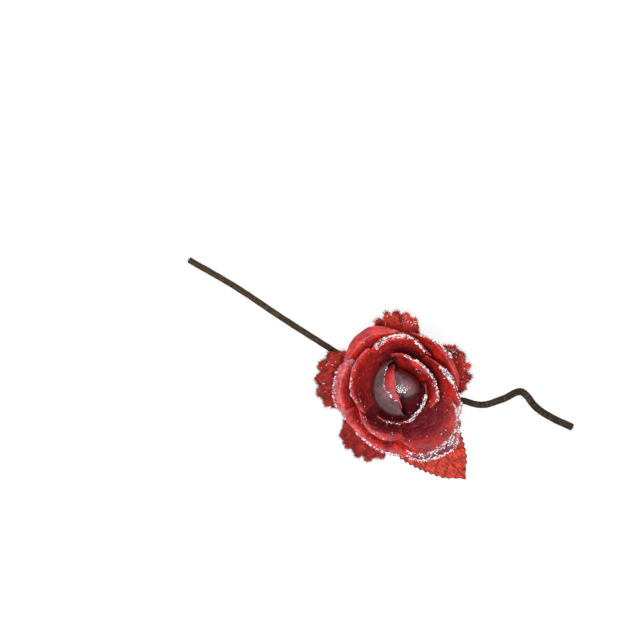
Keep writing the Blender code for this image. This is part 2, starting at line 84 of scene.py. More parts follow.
# Ruffle
RUFFLE_LOBES = [14.0, 91.0, 176.0, 240.0, 306.0]
RUFFLE_REACHES = [30.0, 29.2, 33.5, 34.0, 33.0]
RUFFLE_VALLEY = 16.0
RUFFLE_RISE = 3.4
RUFFLE_WAVE = 0.7
RUFFLE_WAVES = 15
LOBE_HALVES = [0.39, 0.35, 0.41, 0.38, 0.42]
LOBE_SQUARENESS = 2.6
SCALLOPS = 3
SCALLOP_DEPTH = 0.9
RUFFLE_COLUMNS = 540
RUFFLE_ROWS = 30

# Long wire
STEM_ANGLE = -29.5
STEM_WRAP_RADIUS = 1.4
STEM_TAIL_RADIUS = 1.65
STEM_THICKENS_FROM = 0.45
STEM_THICK_BY = 0.82
STEM_ROUTE_BACK = [(-77.2, 47.9), (-57.6, 36.6), (-37.0, 22.9), (-17.2, 10.3)]
STEM_ROUTE_FRONT = [(15.1, -7.3), (32.3, -11.2), (40.0, -12.4), (48.6, -14.3), (57.6, -11.7), (64.3, -8.6),
                    (67.7, -10.4), (71.8, -15.4), (78.3, -19.7), (87.3, -23.9)]
STEM_HELD_HEIGHT = 2.2
STEM_BOUND_HALF = 8.0
STEM_FINE_STEPS = 24
STEM_FINE_SIDES = 28
STEM_BORE = 0.75

# Leaf
LEAF_FOOT = (4.23, -4.70)
LEAF_ANGLE = -48.0
LEAF_START = 9.0
LEAF_LENGTH = 47.0
LEAF_HALF_WIDTH = 15.0
LEAF_LEAN_TO_FOOT = 0.62
LEAF_FULLNESS = 0.72
LEAF_POINT = 0.14
LEAF_POINT_SHARPNESS = 0.45
LEAF_TEETH = 21
TOOTH_DEPTH = 0.9
LEAF_ARCH = [1.02, 1.06, 1.0, 0.66, 0.0]
LEAF_FOLD = 0.4
LEAF_COLUMNS = 64
LEAF_STEPS_PER_TOOTH = 8

# Bud core
CORE_SIDE = [(0.8, 0.0), (4.4, 0.8), (7.5, 3.4), (8.9, 7.2), (8.3, 11.2), (5.2, 14.6), (2.0, 16.4),
             (0.0, 17.4)]
CORE_COLUMNS = 96
CORE_ROWS = 80
CORE_SKIN_INSET = 0.12
CORE_TWIST = 1.6
CORE_FOLDS = [(3, 0.16, 0.0), (7, 0.07, 1.3)]
CORE_DENTS = [(278.0, 52.0, 0.25), (62.0, 45.0, 0.2)]
# How much shade is painted on the core's lower sides, at its tip and in its crease
CORE_PAINTED_SHADE = 1.0
CORE_CREASE_FROM = 244.0
CORE_CREASE_TURN = 40.0
CORE_CREASE_HALF = 9.0
CORE_CREASE_DEPTH = 0.7

# Camera and frame of the photograph
MM_PER_PIXEL = 0.4295
PHOTO_SIDE = 640
STEM_END_PIXEL = (189, 260)
CAMERA_HEIGHT = 1000.0
SENSOR = 36.0

# Studio
FLOOR_HALF = 3.0
FLOOR_BELOW = 0.00002
FLOOR_GLOW = 0.88
WORLD_LIGHT = 0.3
LAMPS = [
    ("key", (-0.07, -0.13, 0.68), 0.26, 6.0),
    ("fill", (0.2, 0.3, 0.5), 0.4, 0.8),
]
BUD_COLOURED = ["bud_petal_side"]

SEED = 11


@dataclass(kw_only=True)
class Ring:
    """Petals round the axis in one cup, as in the model: profiles from foot to rim, and stops by angle.

    Where there is no rolled profile, the upright one holds all the way round.
    """

    name: str
    upright: list
    rolled: list = None
    centres: list
    half_widths: list
    rolls: list
    reaches: list
    rims: list
    corner_drop: float = 0.22
    twist: float = 0.0
    lively: float = 1.0

    def spread(self):
        return abs(self.twist) * max(self.half_widths) / PETAL_PITCH

    def names(self):
        count = len(self.centres)
        return [f"{self.name}_{i + 1}" for i in range(count)] if count > 1 else [self.name]


OUTER = Ring(
    name="outer_petal",
    upright=[(PETAL_HOLE, 0), (9, 1.0), (17, 4.4), (23, 9.4), (26.3, 14.0), (28.0, 17.5)],
    rolled=[(PETAL_HOLE, 0), (9, 1.2), (16.5, 5.6), (21.5, 11.4), (25.4, 14.4), (29.6, 11.8)],
    centres=[30, 122, 189, 245, 306],
    half_widths=[48, 44, 40, 42, 42],
    rolls=[(30, 0.8), (75, 0.8), (122, 1.0), (189, 0.8), (245, 0.4), (306, 0.5), (345, 0.5)],
    reaches=[(30, 0.95), (85, 0.9), (122, 1.0), (189, 1.0), (245, 0.97), (306, 1.02), (350, 0.86)],
    rims=[(30, 24.8), (67, 25.3), (97, 25.0), (122, 28.8), (160, 26.8), (189, 28.2), (225, 26.5), (262, 28.9),
          (290, 33.2), (314, 34.4), (336, 29.6), (355, 26.6)],
    twist=1.5,
)
MIDDLE = Ring(
    name="middle_petal",
    upright=[(PETAL_HOLE, 0), (8, 1.0), (14.5, 4.9), (18.6, 9.9), (21.2, 14.4), (23.0, 17.9)],
    rolled=[(PETAL_HOLE, 0), (8, 1.0), (14.5, 4.9), (18.6, 10.2), (21.4, 13.4), (24.4, 13.0)],
    centres=[2, 88, 172, 237, 308],
    half_widths=[50, 42, 44, 36, 42],
    rolls=[(2, 0.3), (60, 0.6), (88, 0.8), (122, 0.8), (172, 0.6), (240, 0.8), (308, 0.4)],
    reaches=[(2, 0.98), (88, 1.0), (172, 0.97), (240, 0.97), (308, 1.02)],
    rims=[(2, 23.6), (20, 21.0), (46, 17.6), (88, 22.8), (122, 22.4), (172, 21.6), (205, 20.2), (240, 23.0),
          (266, 23.8), (290, 28.8), (316, 30.2), (338, 27.2)],
    twist=-1.4,
)
INNER = Ring(
    name="inner_petal",
    upright=[(PETAL_HOLE, 0), (5.6, 0.9), (8.7, 4.4), (9.7, 9.4), (10.0, 12.8), (11.2, 15.4), (13.6, 17.1)],
    rolled=[(PETAL_HOLE, 0), (6.4, 0.8), (10.8, 4.2), (12.7, 8.4), (13.6, 12.0), (15.0, 15.0), (16.6, 16.8)],
    centres=[36],
    half_widths=[70],
    rolls=[(106, 1.0), (85, 0.9), (62, 0.05), (38, 0.05), (15, 0.95), (340, 1.1)],
    reaches=[(0, 1.0)],
    rims=[(104, 16.2), (63, 13.3), (33, 13.5), (8, 14.8), (340, 16.8)],
    lively=0.5,
)
BUD_OUTER = Ring(
    name="bud_petal_outer",
    upright=[(PETAL_HOLE, 0), (5.4, 0.9), (8.9, 4.1), (10.5, 8.3), (10.6, 12.3), (10.2, 15.3)],
    rolled=[(PETAL_HOLE, 0), (6.4, 0.8), (11.2, 4.0), (13.6, 8.3), (14.4, 12.0), (14.6, 14.8)],
    centres=[300.5],
    half_widths=[70.5],
    rolls=[(245, 1.0), (290, 0.2), (330, 0.0), (25, 0.0)],
    reaches=[(0, 1.0)],
    rims=[(240, 15.6), (259, 15.0), (284, 14.2), (306, 12.3), (331, 11.0), (10, 10.2)],
    corner_drop=0.16,
    lively=0.35,
)
BUD_SIDE = Ring(
    name="bud_petal_side",
    upright=[(PETAL_HOLE, 0), (5.2, 0.7), (9.0, 3.6), (11.9, 8.3), (12.0, 12.6), (9.6, 15.9), (5.6, 17.8)],
    centres=[190],
    half_widths=[93],
    rolls=[(0, 0.0)],
    reaches=[(100, 0.9), (122, 0.88), (150, 0.9), (177, 0.93), (197, 0.99), (235, 1.06), (256, 1.15),
             (272, 1.13), (285, 1.0)],
    rims=[(0, 5.6)],
    corner_drop=0.38,
    lively=0.2,
)
BUD_STRIP = Ring(
    name="bud_petal_strip",
    upright=[(PETAL_HOLE, 0), (5.0, 0.7), (8.2, 3.4), (10.0, 7.6), (8.9, 12.6), (5.4, 16.2), (2.2, 17.6)],
    centres=[188],
    half_widths=[84],
    rolls=[(0, 0.0)],
    reaches=[(104, 1.03), (127, 1.07), (150, 0.98), (188, 0.95), (220, 0.99), (240, 1.06), (257, 1.15),
             (270, 1.25)],
    rims=[(0, 2.2)],
    corner_drop=0.4,
    lively=0.2,
)
RINGS = [OUTER, MIDDLE, INNER, BUD_OUTER, BUD_SIDE, BUD_STRIP]

# Liveliness of the sheets: how far a rim wanders, and how uneven a face is
RIM_WAVE = 0.04
RIM_WAVE_DEGREES = 9.0
RIM_TEAR = 0.025
RIM_TEAR_DEGREES = 2.2
BULGE = 0.5
BULGE_LENGTH = 6.5
DIMPLE = 0.16
DIMPLE_LENGTH = 1.6
LIP = 1.1
LIP_START = 0.9
LIP_DEGREES = 14.0
RIM_THICKNESS = 0.85
BEAD_START = 0.93
BEAD_LENGTH = 2.4
ROWS_TOWARDS_RIM = 1.5
STREAK_ARC = 30.0

# Frayed crepe of the ruffle
CRINKLE = 0.6
CRINKLE_DEGREES = 2.4
FRAY = 0.55
FRAY_DEGREES = 1.6
FACE_TUFTS = 3000
EDGE_TUFTS = 1300
FIBRES_PER_TUFT = 10
TUFT_LENGTH = (1.2, 3.0)
TUFT_WIDTH = 0.24
TUFT_FAN = 0.22
TUFT_PATCH = 2.6
TUFT_TONE = 0.45
TUFT_CONTRAST = 0.9
TUFTS_ON_TOP = 0.75
# The fibres' roots are painted darker than their tips: painted shade at the roots of the tufts
ROOT_PAINTED_SHADE = 0.6
# Painted light and shade by lobe: the ruffle's and the fibres' tone is multiplied by these, so the top lobe
# is painted lighter and the left and lower lobes darker
LOBE_PAINTED_LIGHT = [(91.0, 3.4), (14.0, 1.45), (176.0, 0.6), (240.0, 0.6), (306.0, 0.8)]
FIBRE_RADIUS = 0.15

# Paper tape wound on the wires
TAPE_PITCH = 7.0
TAPE_STEP = 0.1
TAPE_CREASE = 0.07
TAPE_CREASE_LENGTH = 0.8
TAPE_DENT = 0.07
TAPE_DENT_LENGTH = 5.0
TAIL_SHADE = 0.65
TAIL_DARKENS_WITHIN = 0.3
BINDING_HALF_LENGTH = 6.0
BINDING_PITCH = 2.6
BINDING_SIDES = 72
BINDING_STEPS = 60
BINDING_LAP = 0.4
BINDING_DENT = 0.15
TAPE_THICKNESS = 0.5

# Leaf's teeth, ripples and veins
TOOTH_LEAN = 0.75
LEAF_FIRST = 0.008
LEAF_LAST = 0.996
LEAF_RIPPLE = 0.3
LEAF_RIPPLE_LENGTH = 5.0
CUT_WIDTH = 0.8
LEAF_VEINS = 9
VEIN_SLANT = 1.5
VEIN_DEPTH = 0.26
VEIN_HALF_WIDTH = 0.09
MIDRIB_APART = 0.5
MIDRIB_HALF_WIDTH = 0.28
MIDRIB_RISE = 0.28

# Frost
GRAIN_RADIUS = (0.13, 0.34)
SPECKS_PER_PETAL = 20
CORE_GRAINS = 30
KNOT_GRAINS = 84
KNOT_RADIUS = 1.6
KNOT_SPREAD = 0.45
GRAIN_SEAT = 0.1
RUFFLE_GRAINS = [(72.0, 86.0, 60), (86.0, 106.0, 10), (20.0, 36.0, 44), (2.0, 18.0, 18), (160.0, 186.0, 24),
                 (196.0, 206.0, 10)]


@dataclass
class Petal:
    """One petal: its ring, the angle of its middle, half its width in degrees, and the height of its foot."""

    name: str
    ring: Ring
    centre: float
    half_width: float
    foot: float


@dataclass
class Band:
    """Frost along a rim between two angles: how many grains, how wide, how high they pile, how far in."""

    petal: str
    start: float
    end: float
    grains: int
    width: float = 0.8
    pile: float = 0.25
    inset: float = 0.0


FROST = [
    Band("middle_petal_2", 56, 122, 640, 4.4, 0.6),
    Band("outer_petal_1", 30, 68, 240, 1.8, 0.3),
    Band("middle_petal_1", 4, 30, 420, 4.0, 0.8),
    Band("middle_petal_1", 318, 364, 190, 1.6, 0.3),
    Band("middle_petal_5", 300, 344, 200, 1.3, 0.4),
    Band("outer_petal_5", 276, 318, 260, 1.1, 0.5),
    Band("outer_petal_5", 276, 318, 90, 3.6, 0.5),
    Band("outer_petal_5", 276, 318, 250, 1.3, 0.5, 2.6),
    Band("outer_petal_5", 318, 346, 220, 2.0, 0.4),
    Band("outer_petal_4", 226, 272, 130, 0.6, 0.2),
    Band("outer_petal_4", 262, 270, 70, 1.4, 0.4),
    Band("outer_petal_3", 166, 222, 170, 1.2, 0.2),
    Band("middle_petal_3", 168, 206, 26, 0.4, 0.1),
    Band("bud_petal_side", 120, 255, 110, 0.5, 0.1),
    Band("bud_petal_outer", 278, 346, 230, 0.6, 0.2),
    Band("bud_petal_outer", 290, 345, 14, 6.0, 0.1),
    Band("bud_petal_outer", 242, 278, 16, 0.3, 0.1),
    Band("inner_petal", -22, 84, 260, 0.8, 0.25),
]
CLUMP_LENGTH = 2.0
CLUMP_GAPS = (-0.6, 0.35)
CLUMP_GAPS_INSIDE = 0.25
PETAL_ARC = 28.0
BETWEEN_FROST = 0.85
BETWEEN_FADES = (6.0, 0.5, 1.2)
CORNERS_PER_GRAIN = 6

# Painted light and shade on each petal, lighter below 0, from how far below its rim painted shade
# deepens into the cup, and how much pale wax bloom it carries
PETAL_PAINTED_SHADES = {"middle_petal_5": 0.38, "middle_petal_4": 0.36, "middle_petal_3": -0.1, "middle_petal_1": 0.15,
          "outer_petal_1": -0.25, "outer_petal_2": -0.05, "outer_petal_3": 0.2, "outer_petal_5": 0.2,
          "bud_petal_outer": 0.75, "inner_petal": -0.7, "bud_petal_side": 0.35, "bud_petal_strip": 0.2}
PLAIN_PAINTED_SHADE = 0.1
DEEP_PAINTED_SHADE = 0.75
DEEP_FROM = {"bud_petal_side": 0.97, "middle_petal_5": 0.98, "middle_petal_4": 1.0, "inner_petal": 0.7,
             "middle_petal_3": 0.8}
PLAIN_DEEP_FROM = 0.85
DEEP_WITHIN = {"bud_petal_side": 0.26}
PLAIN_DEEP_WITHIN = 0.45
BLOOM = {"outer_petal_3": 1.0, "outer_petal_4": 0.45, "middle_petal_4": 0.35, "middle_petal_3": 0.45,
         "outer_petal_2": 0.35, "outer_petal_1": 0.15, "inner_petal": 0.3, "bud_petal_strip": 0.45}
PLAIN_BLOOM = 0.08
BLOOM_START = 0.72


def along(points, share):
    """The point at that share of the way along the smooth curve through the points."""
    last = len(points) - 1
    place = share * last
    i = min(max(int(place), 0), last - 1)
    t = place - i
    four = [points[max(i - 1, 0)], points[i], points[i + 1], points[min(i + 2, last)]]
    return [
        0.5 * (2 * b + (c - a) * t + (2 * a - 5 * b + 4 * c - d) * t * t + (3 * b - a - 3 * c + d) * t**3)
        for a, b, c, d in zip(*four)
    ]


def ease(t):
    t = min(max(t, 0.0), 1.0)
    return t * t * (3 - 2 * t)


def round_ring(stops, angle):
    """A value that goes smoothly from one stop to the next, all the way round. Angles are in degrees."""
    stops = sorted((a % 360, value) for a, value in stops)
    stops = [(stops[-1][0] - 360, stops[-1][1]), *stops, (stops[0][0] + 360, stops[0][1])]
    angle %= 360
    for (low, a), (high, b) in zip(stops, stops[1:]):
        if low <= angle <= high:
            return a + (b - a) * ease((angle - low) / (high - low))
    return stops[0][1]


def round_axis(radius, angle, height=0.0):
    """The point at that radius, angle in degrees and height."""
    a = math.radians(angle)
    return Vector((radius * math.cos(a), radius * math.sin(a), height))


def head_matrix():
    axis = round_axis(1, HEAD_LEAN_TOWARDS + 90)
    return Matrix.Translation(HEAD_FOOT) @ Matrix.Rotation(math.radians(HEAD_LEAN), 4, axis)


HEAD = head_matrix()


def uneven(point, length, seed=0.0):
    """Smooth unevenness from about -1 to 1 at that point, with lumps of about that length."""
    return noise.noise(Vector(point) / length + Vector((seed, SEED, 0)))


def linked(name, data):
    obj = bpy.data.objects.new(name, data)
    bpy.context.scene.collection.objects.link(obj)
    return obj


def mesh_piece(name, points, faces, material, smooth=True, **layers):
    """A piece that rides on the part's one body, from points in millimetres.

    Each layer has one number or one vector for each point, which the material reads by the layer's name.
    """
    mesh = bpy.data.meshes.new(name)
    mesh.from_pydata([Vector(p) * MM for p in points], [], faces)
    mesh.materials.append(material)
    if smooth:
        mesh.shade_smooth()
    for layer, values in layers.items():
        if isinstance(values[0], float):
            mesh.attributes.new(layer, "FLOAT", "POINT").data.foreach_set("value", values)
        else:
            flat = [x for vector in values for x in vector]
            mesh.attributes.new(layer, "FLOAT_VECTOR", "POINT").data.foreach_set("vector", flat)
    obj = linked(name, mesh)
    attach(obj, "root")
    return obj


def grid_faces(rows, columns, closed=False):
    across = columns if closed else columns - 1
    faces = []
    for r in range(rows - 1):
        for c in range(across):
            nxt = (c + 1) % columns
            faces.append((r * columns + c, r * columns + nxt, (r + 1) * columns + nxt, (r + 1) * columns + c))
    return faces


def thicken(obj, thickness, shares=None, smoother=0):
    """Gives a sheet its thickness, equal both ways, with shares of it point by point if they are given."""
    solid = obj.modifiers.new("thickness", "SOLIDIFY")
    solid.thickness = thickness * MM
    solid.offset = 0.0
    if shares:
        group = obj.vertex_groups.new(name="thickness")
        for i, share in enumerate(shares):
            group.add([i], share, "REPLACE")
        solid.vertex_group = "thickness"
    if smoother:
        rounded = obj.modifiers.new("round rim", "SUBSURF")
        rounded.levels = smoother
        rounded.render_levels = smoother


# Petals


def all_petals():
    petals = []
    top = RUFFLE_THICKNESS
    for ring in RINGS:
        foot = top + PETAL_GAP + ring.spread() + PETAL_THICKNESS / 2
        top = foot + ring.spread() + PETAL_THICKNESS / 2
        for name, centre, half_width in zip(ring.names(), ring.centres, ring.half_widths):
            petals.append(Petal(name, ring, centre, half_width, foot))
    return petals, top + PETAL_GAP


def profile_point(ring, angle, share):
    """Radius and height on the ring's middle surface."""
    roll = round_ring(ring.rolls, angle)
    rolled = ring.rolled or ring.upright
    plain_rim = ring.upright[-1][0] + (rolled[-1][0] - ring.upright[-1][0]) * roll
    wider = 1 + (round_ring(ring.rims, angle) / plain_rim - 1) * share**2
    up = along(ring.upright, share)
    back = along(rolled, share)
    return Vector(((up[0] + (back[0] - up[0]) * roll) * wider, up[1] + (back[1] - up[1]) * roll))


def petal_point(petal, u, v):
    """A point of a petal's middle surface in the head's frame: u from edge to edge, v from foot to rim."""
    ring = petal.ring
    step = 0.02
    width = BASE_WIDTH + (1 - BASE_WIDTH) * math.sin(math.pi / 2 * min(1.0, v / WIDEST_AT))
    turn = petal.half_width * u * width
    angle = petal.centre + turn
    drop = 1 - ring.corner_drop * abs(u) ** CORNER_POWER
    wander = RIM_WAVE * uneven((angle, petal.centre, 0), RIM_WAVE_DEGREES)
    wander += RIM_TEAR * uneven((angle, 0, petal.centre), RIM_TEAR_DEGREES)
    share = v * drop * round_ring(ring.reaches, angle) * (1 + ring.lively * wander * v**4)
    here = profile_point(ring, angle, share)
    run = (profile_point(ring, angle, share + step) - profile_point(ring, angle, share - step)).normalized()
    plain = round_axis(here.x, angle, here.y)
    off = ring.twist * turn / PETAL_PITCH
    dents = BULGE * uneven(plain, BULGE_LENGTH, petal.foot) + DIMPLE * uneven(plain, DIMPLE_LENGTH)
    off += ring.lively * v * dents
    lip = LIP * max(0.0, (v - LIP_START) / (1 - LIP_START)) ** 2
    off += ring.lively * lip * uneven((angle, 7, 0), LIP_DEGREES, petal.centre)
    here += Vector((run.y, -run.x)) * off
    return round_axis(here.x, angle, petal.foot + here.y)


def sheet_thickness(point, v):
    """A petal's thickness there: waxed paper, and an uneven bead of wax along its rim."""
    lumpy = 0.5 + 0.5 * uneven(point, BEAD_LENGTH)
    bead = ease((v - BEAD_START) / (1 - BEAD_START))
    return PETAL_THICKNESS + (RIM_THICKNESS - PETAL_THICKNESS) * bead * lumpy


def between_frost(petal, u, v):
    """From 0 to 1, how far a point is in the wax between a rim's two lines of frost."""
    angle = petal.centre + u * petal.half_width
    deep = (1 - v) * PETAL_ARC
    fade_angle, fade_rim, fade_deep = BETWEEN_FADES
    most = 0.0
    for band in FROST:
        if band.petal == petal.name and band.inset:
            along_rim = ease((angle - band.start) / fade_angle) * ease((band.end - angle) / fade_angle)
            inside = ease(deep / fade_rim) * ease((band.inset + band.width - deep) / fade_deep)
            most = max(most, along_rim * inside)
    return most


def add_petal(petal, material):
    """The petal as a thin waxed sheet with a thick, uneven, rounded rim."""
    points, bloom, shade, flow, shares = [], [], [], [], []
    for r in range(FINE_ROWS + 1):
        v = 1 - (1 - r / FINE_ROWS) ** ROWS_TOWARDS_RIM
        for c in range(FINE_COLUMNS + 1):
            u = math.sin(math.pi / 2 * (2 * c / FINE_COLUMNS - 1))
            point = petal_point(petal, u, v)
            points.append(HEAD @ point)
            edge = ease((v - BLOOM_START) / (1 - BLOOM_START))
            bloom.append(edge * BLOOM.get(petal.name, PLAIN_BLOOM))
            below = DEEP_FROM.get(petal.name, PLAIN_DEEP_FROM) - v
            deep = ease(below / DEEP_WITHIN.get(petal.name, PLAIN_DEEP_WITHIN))
            between = BETWEEN_FROST * between_frost(petal, u, v)
            # Painted light and shade: the petal's own share (lighter below 0), more painted shade deep in the
            # cup, and a darker band of wax between two lines of frost
            shade.append(PETAL_PAINTED_SHADES.get(petal.name, PLAIN_PAINTED_SHADE) + DEEP_PAINTED_SHADE * deep + between)
            shares.append(sheet_thickness(point, v) / RIM_THICKNESS)
            flow.append((petal.centre + u * petal.half_width, v * STREAK_ARC, petal.foot))
    faces = grid_faces(FINE_ROWS + 1, FINE_COLUMNS + 1)
    obj = mesh_piece(f"{petal.name}_waxed", points, faces, material, bloom=bloom, shade=shade, flow=flow)
    thicken(obj, RIM_THICKNESS, shares, smoother=1)
    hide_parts(petal.name)


# The bud's core


def core_crease(angle, share):
    """From 0 to 1, how deep in the core's crease a point is: it runs down from the tip, round to one side."""
    across = ((angle - CORE_CREASE_FROM - CORE_CREASE_TURN * share + 180) % 360 - 180) / CORE_CREASE_HALF
    return math.exp(-(across**2)) * ease((share - 0.5) / 0.2) * ease((0.98 - share) / 0.06)


def core_point(angle, share, foot):
    """A point of the core's skin, with folds that turn down from its tip."""
    radius, height = along(CORE_SIDE, share)
    turned = math.radians(angle) + CORE_TWIST * share
    fold = sum(deep * math.sin(count * turned + phase) for count, deep, phase in CORE_FOLDS)
    fold *= math.sin(math.pi * share) * min(1.0, radius / 2)
    radius = max(0.0, radius - CORE_SKIN_INSET + fold)
    for middle, half, depth in CORE_DENTS:
        away = (angle - middle + 180) % 360 - 180
        radius *= 1 - depth * math.exp(-((away / half) ** 2)) * ease(share / 0.5)
    height -= CORE_CREASE_DEPTH * core_crease(angle, share)
    return round_axis(radius, angle, foot + height)


def add_core(foot, material):
    points, shade = [], []
    for r in range(CORE_ROWS + 1):
        share = r / CORE_ROWS
        for c in range(CORE_COLUMNS):
            angle = 360 * c / CORE_COLUMNS
            points.append(HEAD @ core_point(angle, share, foot))
            # Painted shade on the core's lower sides and at its tip, and more in its crease
            ends = ease((0.8 - share) / 0.3) + ease((share - 0.96) / 0.02)
            shade.append(CORE_PAINTED_SHADE * (ends + core_crease(angle, share)))
    faces = grid_faces(CORE_ROWS + 1, CORE_COLUMNS, closed=True)
    faces.append(tuple(reversed(range(CORE_COLUMNS))))
    faces.append(tuple(CORE_ROWS * CORE_COLUMNS + c for c in range(CORE_COLUMNS)))
    obj = mesh_piece("bud_core_waxed", points, faces, material, shade=shade)
    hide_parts("bud_core")


# The ruffle


def ruffle_point(angle, v):
    """A point of the ruffle's middle surface in the head's frame: v from its hole to its frayed edge."""
    count = len(RUFFLE_LOBES)
    aways = [abs((angle - centre + 180) % 360 - 180) for centre in RUFFLE_LOBES]
    nearest = aways.index(min(aways))
    half = LOBE_HALVES[nearest]
    off = min(half, aways[nearest] * count / 360)
    lobe = (1 - (off / half) ** LOBE_SQUARENESS) ** (1 / LOBE_SQUARENESS)
    edge = RUFFLE_VALLEY + (RUFFLE_REACHES[nearest] - RUFFLE_VALLEY) * lobe
    edge += SCALLOP_DEPTH * lobe * math.cos(2 * math.pi * SCALLOPS * off / half)
    ring = round_axis(1, angle)
    fine = math.radians(FRAY_DEGREES)
    edge += FRAY * (uneven(ring, fine) + uneven(ring, 3 * fine, 5.0)) * lobe
    radius = PETAL_HOLE + (edge - PETAL_HOLE) * v
    out = radius / max(RUFFLE_REACHES)
    height = RUFFLE_THICKNESS / 2 + RUFFLE_RISE * out**2
    height += RUFFLE_WAVE * out**3 * math.sin(math.radians(RUFFLE_WAVES * angle))
    height += CRINKLE * out**2 * uneven(ring * 60 + Vector((0, 0, radius / 1.5)), CRINKLE_DEGREES)
    return round_axis(radius, angle, height)


def add_ruffle(material):
    points, tone = [], []
    for r in range(RUFFLE_ROWS + 1):
        for c in range(RUFFLE_COLUMNS):
            angle = 360 * c / RUFFLE_COLUMNS
            points.append(HEAD @ ruffle_point(angle, r / RUFFLE_ROWS))
            patch = TUFT_TONE + TUFT_CONTRAST * uneven(points[-1], TUFT_PATCH, 2.0)
            # Tone from the tufts' random patches, times the painted light and shade of each lobe
            tone.append(min(max(patch, 0.0), 1.0) * round_ring(LOBE_PAINTED_LIGHT, angle))
    faces = grid_faces(RUFFLE_ROWS + 1, RUFFLE_COLUMNS, closed=True)
    obj = mesh_piece("calyx_ruffle_crepe", points, faces, material, tone=tone)
    thicken(obj, RUFFLE_THICKNESS)
    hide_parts("calyx_ruffle")


def add_fibres(rng, material):
    """Tufts of frayed fibres on the ruffle's faces and all round its edge, each a thin three-sided spike."""
    points, faces, tone = [], [], []
    for i in range(FACE_TUFTS + EDGE_TUFTS):
        on_edge = i >= FACE_TUFTS
        angle = rng.uniform(0, 360)
        v = 1 - abs(rng.gauss(0, 0.015)) if on_edge else math.sqrt(rng.uniform(0.3, 1.0))
        root = ruffle_point(angle, v)
        if root.xy.length < RUFFLE_VALLEY:
            continue
        out = Vector((root.x, root.y, 0)).normalized()
        side = 1 if rng.random() < TUFTS_ON_TOP else -1
        lift = rng.uniform(-0.3, 0.5) if on_edge else side * rng.uniform(0.3, 0.9)
        lean = Vector((rng.uniform(-0.6, 0.6), rng.uniform(-0.6, 0.6), lift)) + out * rng.uniform(0.2, 1.0)
        length = rng.uniform(*TUFT_LENGTH)
        bright = rng.gauss(TUFT_TONE, 0.2) + TUFT_CONTRAST * uneven(root, TUFT_PATCH, 2.0)
        # Painted light and shade by lobe on the tuft's brightness
        bright = min(max(bright, 0.0), 1.0) * round_ring(LOBE_PAINTED_LIGHT, angle)
        for _ in range(FIBRES_PER_TUFT):
            spread = Vector([rng.gauss(0, 1) for _ in range(3)])
            foot = root + spread * TUFT_WIDTH
            heading = (lean + spread * TUFT_FAN).normalized()
            across = heading.cross(Vector((0.3, 0.5, 0.8))).normalized() * FIBRE_RADIUS
            other = heading.cross(across)
            tip = foot + heading * length * rng.uniform(0.4, 1.0)
            first = len(points)
            for corner in (foot + across, foot - across / 2 + other, foot - across / 2 - other, tip):
                points.append(HEAD @ corner)
            # Painted shade: the three corners at a fibre's root are darker than its tip
            tone += [bright * ROOT_PAINTED_SHADE] * 3 + [bright]
            faces += [(first + a, first + b, first + 3) for a, b in ((0, 1), (1, 2), (2, 0))]
    obj = mesh_piece("ruffle_fibres", points, faces, material, tone=tone)


# Long wire and binding tape


def by_stem(distance, aside, height):
    """A place given along and beside the straight stretch of the long wire."""
    ahead = round_axis(1, STEM_ANGLE)
    return ahead * distance + Vector((-ahead.y, ahead.x, 0)) * aside + Vector((0, 0, height))


def frames(path):
    """(point, side, up) at each point of a path, with no twist from one to the next."""
    made = []
    side = None
    for i, point in enumerate(path):
        heading = (path[min(i + 1, len(path) - 1)] - path[max(i - 1, 0)]).normalized()
        if side is None:
            side = Vector((0, 0, 1)).cross(heading)
        side = (side - heading * side.dot(heading)).normalized()
        made.append((point, side, heading.cross(side)))
    return made


def sleeve(name, pairs, material, **layers):
    """A sleeve that is open at both ends, from pairs of rings of points: one outside and one inside."""
    outer = [p for pair in pairs for p in pair[0]]
    inner = [p for pair in pairs for p in pair[1]]
    rows, sides = len(pairs), len(pairs[0][0])
    faces = grid_faces(rows, sides, closed=True)
    below = rows * sides
    faces += [tuple(below + i for i in reversed(face)) for face in list(faces)]
    for k in range(sides):
        nxt = (k + 1) % sides
        faces.append((nxt, k, below + k, below + nxt))
        last = (rows - 1) * sides
        faces.append((last + k, last + nxt, below + last + nxt, below + last + k))
    obj = mesh_piece(name, outer + inner, faces, material, **layers)
    obj.data.set_sharp_from_angle(angle=math.radians(60))
    return obj


def stem_path():
    ends = STEM_BOUND_HALF
    bound = [by_stem(distance, 0, STEM_HELD_HEIGHT) for distance in (-ends, 0.0, ends)]
    back = [Vector((x, y, STEM_WRAP_RADIUS)) for x, y in STEM_ROUTE_BACK]
    front = [Vector((x, y, STEM_WRAP_RADIUS)) for x, y in STEM_ROUTE_FRONT]
    points = back + bound + front
    count = (len(points) - 1) * STEM_FINE_STEPS
    path = [Vector(along(points, i / count)) for i in range(count + 1)]
    return [Vector((p.x, p.y, max(p.z, wrap_radius(i / count)))) for i, p in enumerate(path)]


def wrap_radius(share):
    """The paper cover's radius: its tail, in front of the rose, is wound thicker."""
    thick = ease((share - STEM_THICKENS_FROM) / (STEM_THICK_BY - STEM_THICKENS_FROM))
    return STEM_WRAP_RADIUS + (STEM_TAIL_RADIUS - STEM_WRAP_RADIUS) * thick


def taped_radius(share, distance, turn, seed):
    """The wrap's radius: a step down at each turn of the tape, and creases along it."""
    phase = (distance / TAPE_PITCH + turn / (2 * math.pi)) % 1.0
    round_wire = (math.cos(turn) * STEM_WRAP_RADIUS, math.sin(turn) * STEM_WRAP_RADIUS, distance / TAPE_PITCH)
    crease = TAPE_CREASE * abs(uneven(round_wire, TAPE_CREASE_LENGTH, seed))
    dent = TAPE_DENT * abs(uneven((distance, turn, 0), TAPE_DENT_LENGTH, seed))
    return wrap_radius(share) - TAPE_STEP * phase - crease - dent


